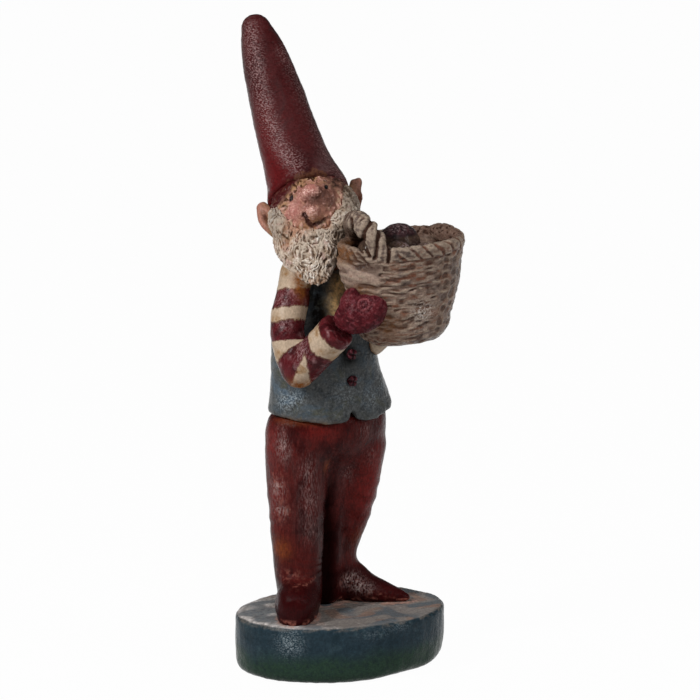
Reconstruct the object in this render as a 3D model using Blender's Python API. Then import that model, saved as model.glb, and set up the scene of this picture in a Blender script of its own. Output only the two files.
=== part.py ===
"""A nisse carrying a basket: a hand-modelled, painted ornament on an oval plinth.

Z = 0 is the underside of the plinth, with the origin in its middle and its long way along X.
The figure faces -Y and its left hand is at +X; it is modelled on its own ground, where it stands
at the origin, and is then turned a little and set on the plinth.
Every lump that the maker would have shaped and luted on is an object of its own.
"""

import itertools
import math

import bmesh
import bpy
import numpy as np
from mathutils import Matrix, Vector

MM = 0.001
SEAM = 0.3 * MM
SHARP_ANGLE = math.radians(40)

# Plinth, and where and how far round the figure stands on it
PLINTH_LENGTH = 134 * MM
PLINTH_DEPTH = 99 * MM
PLINTH_HEIGHT = 36 * MM
PLINTH_SQUARENESS = 2.0
PLINTH_FOOT_ROUND = 7 * MM
PLINTH_TOP_ROUND = 2.5 * MM
FIGURE_STANDS_AT = Vector((-2.9 * MM, -6.4 * MM, PLINTH_HEIGHT))
FIGURE_TURN = math.radians(7)

# Iron rod that pins each leg to the plinth, from the figure's ground
ROD_RADIUS = 2.5 * MM
ROD_BOTTOM = -22 * MM
ROD_TOP = 104 * MM

# The head: turned to the figure's right, tipped up and leaning over
HEAD_CENTRE = Vector((-12.8, 11.6, 253)) * MM
HEAD_RADII = (23.5 * MM, 20.5 * MM, 22.5 * MM)
HEAD_TURN = math.radians(-32)
HEAD_LIFT = math.radians(38)
HEAD_LEAN = math.radians(17)
BRIM_LIFT = 12 * MM
NAPE_DROP = 6 * MM
BRIM_INSET = 0.5 * MM
BRIM_FADE = 32 * MM

# Lumps on the head: places along its own axes, to its left, forward and up, in millimetres
NOSE_PLACE = (-1.2, 20.5, -1.4)
NOSE_HALF = (6.2 * MM, 5 * MM, 4.8 * MM)
LIP_PLACE = (-4.2, 15.5, -12)
LIP_HALF = (4 * MM, 4.6 * MM, 4.2 * MM)
HAIR_PLACE = (0, -4, -6)
HAIR_HALF = (26 * MM, 21.5 * MM, 19.5 * MM)
HAIRLINE = -2 * MM
EAR_LOBE = (26, -2, -12)
RIGHT_EAR_TIP = (29, -3, 10)
LEFT_EAR_TIP = (30.5, -4, 9.5)
EAR_FLARE = (0.95, -0.3, 0)
EAR_WIDTH = 11.5 * MM
EAR_THICKNESS = 6 * MM

# Lumps of whisker at the jaw: name, place on the head and half sizes, in millimetres
WHISKERS = [
    ("right_whisker", (-23, 6, -10), (6.5, 8.5, 13)),
    ("left_whisker", (20, 8.5, -9), (6.5, 8, 13)),
    ("left_jaw", (13.5, 9.5, -18.5), (9, 7.5, 8.5)),
]

# An ear from lobe to tip: share of its length, width and thickness
EAR_OUTLINE = [(0, 0.4, 0.7), (0.55, 1, 1), (1, 0.55, 0.7)]

# Basket, in a frame of its own whose origin is the middle of its foot
BASKET_FOOT = Vector((21, -41.5, 175.5)) * MM
BASKET_TILT = math.radians(-3)
BASKET_HEIGHT = 55 * MM
BASKET_TOP_HALF = (38.5 * MM, 28.5 * MM)
BASKET_FOOT_HALF = (26.5 * MM, 19 * MM)
BASKET_BULGE = 0.7
BASKET_SQUARENESS = 2.3
BASKET_WALL = 5 * MM
BASKET_FOOT_ROUND = 9 * MM
BASKET_RIM_HEIGHT = 8 * MM
RIM_SHOULDER = 0.8
RIM_TOP_INSET = 2 * MM
BASKET_FLOOR = 16 * MM
BED_TOP = 51 * MM
HANDLE_RADIUS = 5.4 * MM
RIGHT_HANDLE = ((-24, -16, 61), (-14.6, 23.7, 61), (-29.5, 0, 77.5))
LEFT_HANDLE_PLACE = Vector((33, 3, 60.5)) * MM
LEFT_HANDLE_HALF = (6 * MM, 16 * MM, 5.5 * MM)

# Fruit on the bed: place in the basket's frame and half sizes, in millimetres
FRUITS = [
    ((-0.5, 2.5, 59.5), (14, 11.8, 12)),
    ((-10.5, -12, 58), (8, 7.5, 7)),
    ((-15, 10, 57), (8.5, 8, 7)),
    ((8, -12.5, 55), (7, 6, 5.5)),
]

BUTTON_RADIUS = 3 * MM
BUTTON_THICKNESS = 3.2 * MM
BUTTON_HEIGHTS = (147 * MM, 163.5 * MM, 180 * MM)
WAISTCOAT_FRONT_X = 1 * MM
NOTCH_WIDTH = 10 * MM
NOTCH_HEIGHT = 13 * MM
HEM_RISE = 7 * MM
HEM_CORNER_LIFT = 5 * MM
HEM_CORNER_WIDTH = 10 * MM
# How steeply the hem's rise and its corner lift die away up the waistcoat, as powers
HEM_RISE_FADE = 2
HEM_CORNER_FADE = 8

# Stations of the modelled lumps: x, y, z, half width and half depth, in millimetres
RIGHT_LEG = [
    (-25, 7, 14, 13.7, 13.5),
    (-24.6, 10, 40, 15.6, 15.2),
    (-24, 12, 74, 17.6, 18),
    (-23.5, 13.5, 104, 18.5, 21),
]
LEFT_LEG = [
    (13.6, 22, 20, 11.2, 10),
    (13.2, 23, 31, 10.8, 9.6),
    (15.2, 22, 46, 14, 12.8),
    (18.6, 19, 67, 15.6, 17),
    (20.8, 15, 104, 18.6, 21.5),
]
LEG_WEB = [
    (1, 18, 1, 9, 6),
    (1, 18, 40, 8, 7),
    (-1, 17, 66, 8, 9),
    (-1.5, 15.5, 84, 8.5, 15),
    (-1.5, 15, 98, 9, 19.5),
]
SEAT = [
    (-0.5, 15.5, 94, 34, 17.5),
    (-1, 15.5, 101, 38.5, 22.5),
    (-1, 15, 112, 40.7, 27),
    (0, 14.5, 124, 37.5, 25),
]
TORSO = [
    (0, 14, 126, 34, 22.5),
    (-2.5, 14, 150, 30.5, 20.5),
    (-5, 13, 174, 28.5, 20),
    (-7, 13, 196, 24, 18.5),
    (-9, 12.5, 212, 17.5, 15),
    (-11, 13, 224, 14.5, 14),
    (-12, 13, 236, 14, 13.5),
]
WAISTCOAT = [
    (1.5, 14, 119, 41, 29.5),
    (0.5, 14, 128, 39, 27.7),
    (-2.5, 14, 150, 35, 25.2),
    (-5, 13, 174, 32.5, 24),
    (-7, 13, 196, 28, 22.3),
    (-9, 12.5, 212, 20.5, 17.8),
]
RIGHT_UPPER_ARM = [
    (-23, 9, 213, 11.5, 11.5),
    (-29.8, 4.5, 201, 10.4, 10.6),
    (-38, 0, 184, 10.2, 10.2),
    (-38, -5, 170, 10.6, 10.6),
    (-36.5, -12, 158, 10.8, 10.8),
]
RIGHT_FOREARM = [
    (-36.5, -12, 158, 10.8, 10.8),
    (-32.5, -24, 170, 10.8, 10.8),
    (-26, -40, 187, 11, 11),
]
LEFT_UPPER_ARM = [
    (12, 16, 213, 11.5, 11.5),
    (21, 14, 200, 10.4, 10.6),
    (22.5, 10, 182, 9.9, 10),
    (22, 3, 167, 10.2, 10.2),
]
LEFT_FOREARM = [
    (22, 3, 167, 10.2, 10.2),
    (33, -3.5, 178, 10, 10),
    (44.5, -11, 190, 10, 10),
]
BEARD = [
    (-19.5, 3, 237, 23, 12.5),
    (-22.2, -1.2, 231, 21.8, 12),
    (-23.5, -6.5, 221, 17, 10.5),
    (-23.5, -12, 211, 9, 7.5),
    (-24, -14, 206.5, 4.5, 4.5),
]
HAT = [
    (-11.5, 17, 257, 25.4, 24.5),
    (-11.5, 21, 264, 23.6, 23),
    (-12.8, 26.6, 273, 21.4, 21.2),
    (-14.4, 34.2, 289, 19, 19),
    (-16, 43.6, 309, 17.5, 17.5),
    (-17.6, 52.4, 329, 15.4, 15.4),
    (-19.2, 60.6, 346.5, 12.2, 12.2),
    (-20.2, 65, 355.5, 8.8, 8.8),
]

# Boots: heel and toe on the ground, then along the sole: share of length, half width, height
# in millimetres. The middle of each ring is at this share of the boot's height.
BOOT_MIDDLE = 0.42
RIGHT_HEEL = Vector((-13, 21)) * MM
RIGHT_TOE = Vector((-42.5, -15.5)) * MM
RIGHT_BOOT = [
    (0.08, 9, 22),
    (0.25, 12, 27),
    (0.5, 13.2, 27),
    (0.75, 13.2, 24.5),
    (0.93, 11.4, 22.5),
]
LEFT_HEEL = Vector((11.5, 29)) * MM
LEFT_TOE = Vector((48, -7)) * MM
LEFT_BOOT = [
    (0.07, 8, 22),
    (0.2, 10, 27),
    (0.42, 11, 17.5),
    (0.62, 10, 12.5),
    (0.82, 6.5, 8.5),
    (0.96, 3, 5.5),
]

# Mittens: closed hand, then thumb, each a centre and half sizes in millimetres and two directions
RIGHT_MITTEN = (
    ((-17, -51, 197), (16.5, 11, 8.2), (0.65, -0.65, 0.36), (0, 0, 1)),
    ((-22, -46, 203.5), (9.5, 5.5, 5.5), (0.25, -0.1, 1), (1, 0, 0)),
)
LEFT_MITTEN = (
    ((53, -22, 195), (15, 11, 9), (0.5, -0.8, 0.35), (0, 0, 1)),
    ((52, -18, 204), (8, 5, 5), (0.2, -0.3, 1), (1, 0, 0)),
)

# Finishes: name, colour, roughness and metallic
RED_CLAY = ("red_paint", (0.12, 0.018, 0.018), 0.5, 0)
MAROON = ("maroon_paint", (0.10, 0.012, 0.022), 0.5, 0)
BLUE_GREY = ("blue_grey_paint", (0.09, 0.115, 0.13), 0.55, 0)
CREAM = ("cream_paint", (0.55, 0.47, 0.35), 0.6, 0)
BEARD_WHITE = ("beard_white_paint", (0.48, 0.42, 0.32), 0.7, 0)
SKIN = ("skin_paint", (0.36, 0.17, 0.13), 0.55, 0)
WICKER = ("wicker_paint", (0.21, 0.16, 0.125), 0.65, 0)
PLUM = ("plum_paint", (0.028, 0.012, 0.014), 0.4, 0)
PLINTH_GREEN = ("plinth_green_paint", (0.018, 0.032, 0.034), 0.5, 0)
IRON = ("iron_wire", (0.12, 0.11, 0.10), 0.6, 1)

# Level directions: the way the face is turned, and across the face to its left
FACE_TOWARD = Vector((math.sin(HEAD_TURN), -math.cos(HEAD_TURN), 0))
FACE_SIDE = Vector((math.cos(HEAD_TURN), math.sin(HEAD_TURN), 0))


def clear_scene():
    for obj in list(bpy.data.objects):
        bpy.data.objects.remove(obj)


def paint(kind):
    """The material of this name and colour, made once."""
    name, colour, roughness, metallic = kind
    material = bpy.data.materials.get(name)
    if material is None:
        material = bpy.data.materials.new(name)
        material.use_nodes = True
        shader = material.node_tree.nodes["Principled BSDF"]
        shader.inputs["Base Color"].default_value = (*colour, 1)
        shader.inputs["Roughness"].default_value = roughness
        shader.inputs["Metallic"].default_value = metallic
    return material


def add_object(name, kind, points, faces):
    """A mesh object from points and faces, with its faces turned outward."""
    mesh = bpy.data.meshes.new(name)
    mesh.from_pydata([tuple(point) for point in points], [], faces)
    shape = bmesh.new()
    shape.from_mesh(mesh)
    bmesh.ops.recalc_face_normals(shape, faces=shape.faces)
    shape.to_mesh(mesh)
    shape.free()
    mesh.materials.append(paint(kind))
    obj = bpy.data.objects.new(name, mesh)
    bpy.context.scene.collection.objects.link(obj)
    return obj


def rings_to_faces(count, sides, closed_loop=False):
    """Quads between neighbouring rings of points, where ring i starts at index i * sides."""
    faces = []
    for ring in range(count if closed_loop else count - 1):
        after = (ring + 1) % count
        for side in range(sides):
            turn = (side + 1) % sides
            faces.append(
                (
                    ring * sides + side,
                    ring * sides + turn,
                    after * sides + turn,
                    after * sides + side,
                )
            )
    return faces


def smooth_stations(stations, count):
    """Stations spread evenly along a curve that passes through the given ones."""
    given = np.array(stations, float)
    before = 2 * given[0] - given[1]
    after = 2 * given[-1] - given[-2]
    padded = np.vstack([before, given, after])
    spread = []
    for place in np.linspace(0, len(given) - 1, count):
        start = min(int(place), len(given) - 2)
        step = place - start
        p0, p1, p2, p3 = padded[start : start + 4]
        slope = (p2 - p0) * step
        bend = (2 * p0 - 5 * p1 + 4 * p2 - p3) * step**2
        twist = (3 * p1 - p0 - 3 * p2 + p3) * step**3
        spread.append(p1 + (slope + bend + twist) / 2)
    return np.array(spread)


def loft(name, kind, stations, across, rings=10, sides=20, level=False, domes=(1, 1)):
    """A solid of oval rings along a curve. Each end bulges by its dome share of the ring's half depth.

    across points along the rings' half width. A level loft keeps every ring horizontal.
    """
    spread = smooth_stations(stations, rings) * MM
    centres = spread[:, :3]
    tangents = np.gradient(centres, axis=0)
    if level:
        tangents[:] = (0, 0, 1)
    tangents /= np.linalg.norm(tangents, axis=1, keepdims=True)
    turn = np.linspace(0, 2 * math.pi, sides, endpoint=False)

    def ring(index, share, shift):
        tangent = tangents[index]
        wide = np.array(across) - np.dot(across, tangent) * tangent
        wide /= np.linalg.norm(wide)
        deep = np.cross(tangent, wide)
        half_width, half_depth = spread[index, 3:] * share
        offsets = np.outer(np.cos(turn) * half_width, wide) + np.outer(np.sin(turn) * half_depth, deep)
        return centres[index] + tangent * shift + offsets

    dome_angles = np.radians((60, 30))
    layers = []
    for angle in dome_angles[: len(dome_angles) * bool(domes[0])]:
        layers.append(ring(0, math.cos(angle), -math.sin(angle) * domes[0] * spread[0, 4]))
    layers += [ring(index, 1, 0) for index in range(rings)]
    for angle in dome_angles[::-1][: len(dome_angles) * bool(domes[1])]:
        layers.append(ring(-1, math.cos(angle), math.sin(angle) * domes[1] * spread[-1, 4]))

    points = np.vstack(layers)
    faces = rings_to_faces(len(layers), sides)
    start_pole = centres[0] - tangents[0] * domes[0] * spread[0, 4]
    end_pole = centres[-1] + tangents[-1] * domes[1] * spread[-1, 4]
    last_ring = (len(layers) - 1) * sides
    points = np.vstack([points, start_pole, end_pole])
    for side in range(sides):
        after = (side + 1) % sides
        faces.append((len(points) - 2, side, after))
        faces.append((len(points) - 1, last_ring + after, last_ring + side))
    return add_object(name, kind, points, faces)


def ellipsoid(name, kind, centre, radii, axes=None, sides=18):
    """An ellipsoid whose half sizes run along the three axes given as columns."""
    shape = bmesh.new()
    bmesh.ops.create_uvsphere(shape, u_segments=sides, v_segments=sides // 2 + 1, radius=1)
    turn = (axes or Matrix.Identity(3)).to_4x4()
    place = Matrix.Translation(centre) @ turn @ Matrix.Diagonal((*radii, 1))
    bmesh.ops.transform(shape, matrix=place, verts=shape.verts)
    mesh = bpy.data.meshes.new(name)
    shape.to_mesh(mesh)
    shape.free()
    mesh.materials.append(paint(kind))
    obj = bpy.data.objects.new(name, mesh)
    bpy.context.scene.collection.objects.link(obj)
    return obj


def block(name, low, high, axes=None, centre=(0, 0, 0)):
    """A square-cornered tool between two corners, given along the axes from the centre."""
    corners = [Vector(corner) for corner in itertools.product(*zip(low, high))]
    turn = axes or Matrix.Identity(3)
    points = [Vector(centre) + turn @ corner for corner in corners]
    faces = [(0, 1, 3, 2), (4, 6, 7, 5), (0, 4, 5, 1), (2, 3, 7, 6), (0, 2, 6, 4), (1, 5, 7, 3)]
    return add_object(name, IRON, points, faces)


def axes_from(first, second):
    """Three square axes as columns: along first, then as near as can be to second, then the third."""
    first = Vector(first).normalized()
    second = Vector(second)
    second = (second - second.dot(first) * first).normalized()
    return Matrix((first, second, first.cross(second))).transposed()


def keep_largest_body(mesh):
    """Drops the crumbs that a cut can leave beside the main body."""
    shape = bmesh.new()
    shape.from_mesh(mesh)
    left = set(shape.verts)
    bodies = []
    while left:
        body = set()
        waiting = [left.pop()]
        while waiting:
            vert = waiting.pop()
            body.add(vert)
            for edge in vert.link_edges:
                other = edge.other_vert(vert)
                if other in left:
                    left.remove(other)
                    waiting.append(other)
        bodies.append(body)
    bodies.sort(key=len)
    crumbs = [vert for body in bodies[:-1] for vert in body]
    bmesh.ops.delete(shape, geom=crumbs, context="VERTS")
    shape.to_mesh(mesh)
    shape.free()


def combine(target, others, operation, grow=0.0):
    """Joins other solids to the target or cuts them from it, each first grown by this much."""
    helpers = []
    for other in others:
        helper = bpy.data.objects.new(other.name + "_helper", other.data)
        helper.matrix_world = other.matrix_world
        bpy.context.scene.collection.objects.link(helper)
        swell = helper.modifiers.new("swell", "DISPLACE")
        swell.strength = grow
        swell.mid_level = 0
        step = target.modifiers.new("step", "BOOLEAN")
        step.operation = operation
        step.solver = "EXACT"
        step.object = helper
        helpers.append(helper)
    bpy.context.view_layer.update()
    graph = bpy.context.evaluated_depsgraph_get()
    mesh = bpy.data.meshes.new_from_object(target.evaluated_get(graph))
    target.modifiers.clear()
    target.data = mesh
    keep_largest_body(mesh)
    for helper in helpers:
        bpy.data.objects.remove(helper)


def carve(target, *others):
    """Cuts room for the neighbours, with the seam left between."""
    combine(target, others, "DIFFERENCE", SEAM)


def weld(target, *others):
    """Joins lumps into the target and removes them as objects."""
    combine(target, others, "UNION")
    for other in others:
        bpy.data.objects.remove(other)


def cut_away(target, *cutters):
    """Cuts shaped tools out of the target and removes them."""
    combine(target, cutters, "DIFFERENCE")
    for cutter in cutters:
        bpy.data.objects.remove(cutter)


def oval(half_length, half_depth, sides, squareness=2.0):
    """Points round an oval, starting at the figure's left; a higher squareness fills out the corners."""
    turn = np.linspace(0, 2 * math.pi, sides, endpoint=False)
    cosine = np.cos(turn)
    sine = np.sin(turn)
    x = half_length * np.sign(cosine) * np.abs(cosine) ** (2 / squareness)
    y = half_depth * np.sign(sine) * np.abs(sine) ** (2 / squareness)
    return np.column_stack([x, y])


def plinth():
    """The oval plinth: a flat slab with a soft top edge and a rounder foot."""
    sides = 44
    profile = []
    for angle in np.radians((0, 30, 60, 90)):
        inset = PLINTH_FOOT_ROUND * (1 - math.sin(angle))
        profile.append((inset, PLINTH_FOOT_ROUND * (1 - math.cos(angle))))
    for angle in np.radians((0, 45, 90)):
        inset = PLINTH_TOP_ROUND * (1 - math.cos(angle))
        profile.append((inset, PLINTH_HEIGHT - PLINTH_TOP_ROUND * (1 - math.sin(angle))))
    layers = []
    for inset, height in profile:
        outline = oval(PLINTH_LENGTH / 2 - inset, PLINTH_DEPTH / 2 - inset, sides, PLINTH_SQUARENESS)
        layers.append(np.column_stack([outline, np.full(sides, height)]))
    faces = rings_to_faces(len(layers), sides)
    faces.append(tuple(range(sides)))
    faces.append(tuple(range((len(layers) - 1) * sides, len(layers) * sides)))
    return add_object("plinth", PLINTH_GREEN, np.vstack(layers), faces)


def leg_rod(name, leg):
    """A straight iron wire from inside the plinth, up the middle of a leg, into the seat."""
    low = Vector(leg[1][:3])
    high = Vector(leg[-1][:3])
    slope = (high - low) / (high.z - low.z)
    stations = []
    for height in (ROD_BOTTOM / MM, ROD_TOP / MM):
        centre = low + slope * (height - low.z)
        stations.append((*centre, ROD_RADIUS / MM, ROD_RADIUS / MM))
    return loft(name, IRON, stations, (1, 0, 0), rings=2, sides=10, domes=(0, 0))


def boot(name, heel, toe, outline):
    """A boot from heel to toe, drawn a little into the ground so that its sole is cut flat."""
    stations = []
    for share, half_width, height in outline:
        place = heel.lerp(toe, share) / MM
        middle = height * BOOT_MIDDLE
        stations.append((place.x, place.y, middle, half_width, height - middle))
    along = toe - heel
    shoe = loft(name, RED_CLAY, stations, (-along.y, along.x, 0), rings=8, sides=16, domes=(0.6, 0.7))
    ground = block("ground", [-PLINTH_LENGTH] * 3, (PLINTH_LENGTH, PLINTH_LENGTH, SEAM))
    cut_away(shoe, ground)
    return shoe


def waistcoat():
    """The waistcoat as a solid that the body is later cut from; its hem dips at front and back
    and rises again towards the front opening."""
    obj = loft("waistcoat", BLUE_GREY, WAISTCOAT, (1, 0, 0), rings=9, sides=28, level=True, domes=(0, 0.35))
    hem = WAISTCOAT[0]
    top = WAISTCOAT[-1]
    for vert in obj.data.vertices:
        fade = (top[2] * MM - vert.co.z) / (top[2] - hem[2]) / MM
        turn = math.atan2(vert.co.x - hem[0] * MM, vert.co.y - hem[1] * MM)
        vert.co.z += HEM_RISE * math.sin(turn) ** 2 * max(fade, 0) ** HEM_RISE_FADE
        if vert.co.y < hem[1] * MM:
            beside = (vert.co.x - WAISTCOAT_FRONT_X) / HEM_CORNER_WIDTH
            vert.co.z += HEM_CORNER_LIFT * math.exp(-(beside**2)) * max(fade, 0) ** HEM_CORNER_FADE
    return obj


def hem_notch():
    """The wedge cut out of the hem below the buttons."""
    front = (WAISTCOAT[0][1] - WAISTCOAT[0][4]) * MM
    low = WAISTCOAT[0][2] * MM - NOTCH_HEIGHT
    high = WAISTCOAT[0][2] * MM + NOTCH_HEIGHT
    points = []
    for y in (front - NOTCH_WIDTH, front + 2 * NOTCH_WIDTH):
        points.append((WAISTCOAT_FRONT_X - NOTCH_WIDTH, y, low))
        points.append((WAISTCOAT_FRONT_X + NOTCH_WIDTH, y, low))
        points.append((WAISTCOAT_FRONT_X, y, high))
    faces = [(0, 1, 2), (3, 5, 4), (0, 3, 4, 1), (1, 4, 5, 2), (2, 5, 3, 0)]
    return add_object("hem_notch", BLUE_GREY, points, faces)


def button(index, height):
    """A round button pressed onto the front of the waistcoat."""
    spread = smooth_stations(WAISTCOAT, 60) * MM
    row = spread[np.argmin(np.abs(spread[:, 2] - height))]
    front = row[1] - row[4]
    start = (WAISTCOAT_FRONT_X / MM, (front + BUTTON_THICKNESS / 2) / MM, height / MM)
    end = (start[0], (front - BUTTON_THICKNESS / 2) / MM, start[2])
    size = (BUTTON_RADIUS / MM, BUTTON_RADIUS / MM)
    stations = [(*start, *size), (*end, *size)]
    return loft(f"button_{index}", MAROON, stations, (1, 0, 0), rings=2, sides=12, domes=(0, 0.25))


def sleeve(name, upper, lower):
    """A bent sleeve: the upper arm and the forearm, welded at the elbow."""
    arm = loft(name, CREAM, upper, (1, 0, 0), rings=8, sides=14)
    forearm = loft(name + "_forearm", CREAM, lower, (1, 0, 0), rings=4, sides=14, domes=(1, 0))
    weld(arm, forearm)
    return arm


def mitten(name, palm, thumb):
    """A mitten: the closed hand with its thumb welded on. Each is a centre, half sizes, and two axes."""
    lumps = []
    for label, (centre, radii, along, upright) in (("", palm), ("_thumb", thumb)):
        half = [size * MM for size in radii]
        axes = axes_from(along, upright)
        lumps.append(ellipsoid(name + label, MAROON, Vector(centre) * MM, half, axes, 14))
    weld(*lumps)
    return lumps[0]


def head_axes():
    """The head's own axes as columns: to its left, forward and up."""
    forward = FACE_TOWARD * math.cos(HEAD_LIFT) + Vector((0, 0, math.sin(HEAD_LIFT)))
    level_up = Vector((0, 0, math.cos(HEAD_LIFT))) - FACE_TOWARD * math.sin(HEAD_LIFT)
    up = level_up * math.cos(HEAD_LEAN) - FACE_SIDE * math.sin(HEAD_LEAN)
    left = FACE_SIDE * math.cos(HEAD_LEAN) + level_up * math.sin(HEAD_LEAN)
    return Matrix((left, forward, up)).transposed()


def on_head(left, forward, up):
    """A place given in millimetres along the head's own axes."""
    return HEAD_CENTRE + head_axes() @ (Vector((left, forward, up)) * MM)


def head_block(name, back, front):
    """A tool as wide and high as can matter, between two distances forward of the head's middle."""
    reach = PLINTH_LENGTH
    return block(name, (-reach, back, -reach), (reach, front, reach), head_axes(), HEAD_CENTRE)


def ear(name, side, tip_place):
    """A pointed ear: a flat leaf that stands up and out from the side of the head."""
    mirror = Vector((side, 1, 1))
    lobe = on_head(*(mirror * Vector(EAR_LOBE)))
    tip = on_head(*(mirror * Vector(tip_place)))
    stations = []
    for share, width, thickness in EAR_OUTLINE:
        place = lobe.lerp(tip, share)
        station = (*place, EAR_WIDTH / 2 * width, EAR_THICKNESS / 2 * thickness)
        stations.append([size / MM for size in station])
    across = head_axes() @ (mirror * Vector(EAR_FLARE))
    return loft(name, SKIN, stations, across, rings=6, sides=12, domes=(0.7, 1))


def hat():
    """The tall soft hat, with its brim pushed up over the face and pulled down at the nape."""
    obj = loft("hat", RED_CLAY, HAT, FACE_SIDE, rings=12, sides=24, domes=(0.2, 1))
    low = Vector(HAT[0][:3]) * MM
    rise = (Vector(HAT[2][:3]) * MM - low).normalized()
    for vert in obj.data.vertices:
        offset = vert.co - low
        fade = min(max(1 - offset.dot(rise) / BRIM_FADE, 0), 1)
        facing = fade * offset.dot(FACE_TOWARD) / (HAT[0][4] * MM)
        if facing > 0:
            vert.co += (rise * BRIM_LIFT - FACE_TOWARD * BRIM_INSET) * facing
        else:
            vert.co += rise * NAPE_DROP * facing
    return obj


def beard():
    """The beard: a jaw-wide lump that narrows to a tip, with whiskers up to both ears."""
    obj = loft("beard", BEARD_WHITE, BEARD, FACE_SIDE, rings=9, sides=20, domes=(0.3, 1))
    lumps = []
    for label, place, radii in WHISKERS:
        half = [size * MM for size in radii]
        lumps.append(ellipsoid(label, BEARD_WHITE, on_head(*place), half, head_axes(), 12))
    weld(obj, *lumps)
    cut_away(obj, head_block("behind_beard", -PLINTH_LENGTH, HAIRLINE))
    return obj


def hair():
    """The lock of hair round the back of the head, from ear to ear below the hat."""
    obj = ellipsoid("hair", BEARD_WHITE, on_head(*HAIR_PLACE), HAIR_HALF, head_axes(), 18)
    cut_away(obj, head_block("before_hair", HAIRLINE - SEAM, PLINTH_LENGTH))
    return obj


def basket_frame():
    """The empty that tilts the basket."""
    frame = bpy.data.objects.new("basket_frame", None)
    frame.location = BASKET_FOOT
    frame.rotation_euler = (0, BASKET_TILT, 0)
    bpy.context.scene.collection.objects.link(frame)
    bpy.context.view_layer.update()
    return frame


def into_frame(obj, frame):
    """Moves a mesh drawn at the frame's origin to where the frame is."""
    obj.data.transform(frame.matrix_world)
    return obj


def basket_halves(height, inset):
    """Half length and half depth of the basket's wall at this height, less an inset."""
    share = (height / BASKET_HEIGHT) ** BASKET_BULGE
    length = BASKET_FOOT_HALF[0] + (BASKET_TOP_HALF[0] - BASKET_FOOT_HALF[0]) * share - inset
    depth = BASKET_FOOT_HALF[1] + (BASKET_TOP_HALF[1] - BASKET_FOOT_HALF[1]) * share - inset
    return length, depth


def basket_layer(height, inset, sides):
    outline = oval(*basket_halves(height, inset), sides, BASKET_SQUARENESS)
    return np.column_stack([outline, np.full(sides, height)])


def basket_tub(frame):
    """The hollow tub: foot, outer wall, top edge, inner wall and floor in one skin."""
    sides = 32
    layers = []
    for angle in np.radians((0, 30, 60, 90)):
        inset = BASKET_FOOT_ROUND * (1 - math.sin(angle))
        layers.append(basket_layer(BASKET_FOOT_ROUND * (1 - math.cos(angle)), inset, sides))
    for share in (0.4, 0.65, 1):
        layers.append(basket_layer(BASKET_HEIGHT * share, 0, sides))
    for share in (1, 0.7):
        layers.append(basket_layer(BASKET_HEIGHT * share, BASKET_WALL, sides))
    layers.append(basket_layer(BASKET_FLOOR, BASKET_WALL, sides))
    faces = rings_to_faces(len(layers), sides)
    faces.append(tuple(range(sides)))
    faces.append(tuple(range((len(layers) - 1) * sides, len(layers) * sides)))
    return into_frame(add_object("basket_tub", WICKER, np.vstack(layers), faces), frame)


def basket_rim(frame):
    """The plaited band on the tub's top edge, as a plain ring."""
    sides = 32
    low = BASKET_HEIGHT + SEAM
    top = low + BASKET_RIM_HEIGHT
    shoulder = low + BASKET_RIM_HEIGHT * RIM_SHOULDER
    outer = [(low, 0), (shoulder, 0), (top, RIM_TOP_INSET)]
    inner = [(shoulder, BASKET_WALL), (low, BASKET_WALL)]
    layers = [basket_layer(height, inset, sides) for height, inset in outer + inner]
    faces = rings_to_faces(len(layers), sides, closed_loop=True)
    return into_frame(add_object("basket_rim", WICKER, np.vstack(layers), faces), frame)


def basket_bed(frame):
    """The lump that fills the tub to a little below its edge and carries the fruit."""
    sides = 24
    gap = BASKET_WALL + 3 * SEAM
    heights = (BASKET_FLOOR + SEAM, BASKET_HEIGHT * 0.7, BED_TOP)
    layers = [basket_layer(height, gap, sides) for height in heights]
    faces = rings_to_faces(len(layers), sides)
    faces.append(tuple(range(sides)))
    faces.append(tuple(range(2 * sides, 3 * sides)))
    return into_frame(add_object("basket_bed", WICKER, np.vstack(layers), faces), frame)


def basket_handle(name, frame, feet_and_peak):
    """An ear handle: a thick arch from one foot on the rim over its peak to the other foot."""
    start, end, peak = (Vector(place) for place in feet_and_peak)
    middle = start.lerp(end, 0.5)
    thick = HANDLE_RADIUS / MM
    stations = []
    for angle in np.linspace(0, math.pi, 9):
        place = middle + (start - middle) * math.cos(angle) + (peak - middle) * math.sin(angle)
        stations.append((*place, thick, thick))
    arch = loft(name, WICKER, stations, (1, 0, 0.01), rings=11, sides=10, domes=(0.6, 0.6))
    return into_frame(arch, frame)


def fruit(index, frame):
    centre, radii = FRUITS[index]
    half = [size * MM for size in radii]
    return into_frame(ellipsoid(f"fruit_{index + 1}", PLUM, Vector(centre) * MM, half, sides=12), frame)


def build_legs():
    """Rods, boots, trouser legs and seat. The left leg carries the web of clay between the legs."""
    right_rod = leg_rod("right_leg_rod", RIGHT_LEG)
    left_rod = leg_rod("left_leg_rod", LEFT_LEG)
    right_boot = boot("right_boot", RIGHT_HEEL, RIGHT_TOE, RIGHT_BOOT)
    left_boot = boot("left_boot", LEFT_HEEL, LEFT_TOE, LEFT_BOOT)
    seat = loft("trouser_seat", RED_CLAY, SEAT, (1, 0, 0), rings=7, sides=26, level=True, domes=(0.3, 0.1))
    right_leg = loft("right_trouser_leg", RED_CLAY, RIGHT_LEG, (1, 0, 0), rings=7, sides=18, domes=(0, 0.3))
    left_leg = loft("left_trouser_leg", RED_CLAY, LEFT_LEG, (1, 0, 0), rings=9, sides=18, domes=(0, 0.3))
    web = loft("leg_web", RED_CLAY, LEG_WEB, (1, 0, 0), rings=4, sides=14, domes=(0, 0.3))
    carve(right_leg, right_boot, seat)
    weld(left_leg, web)
    carve(left_leg, left_boot, right_boot, right_leg, seat)
    for piece in (right_boot, left_boot, right_leg, left_leg, seat):
        carve(piece, right_rod, left_rod)
    return seat, right_rod, left_rod


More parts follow.
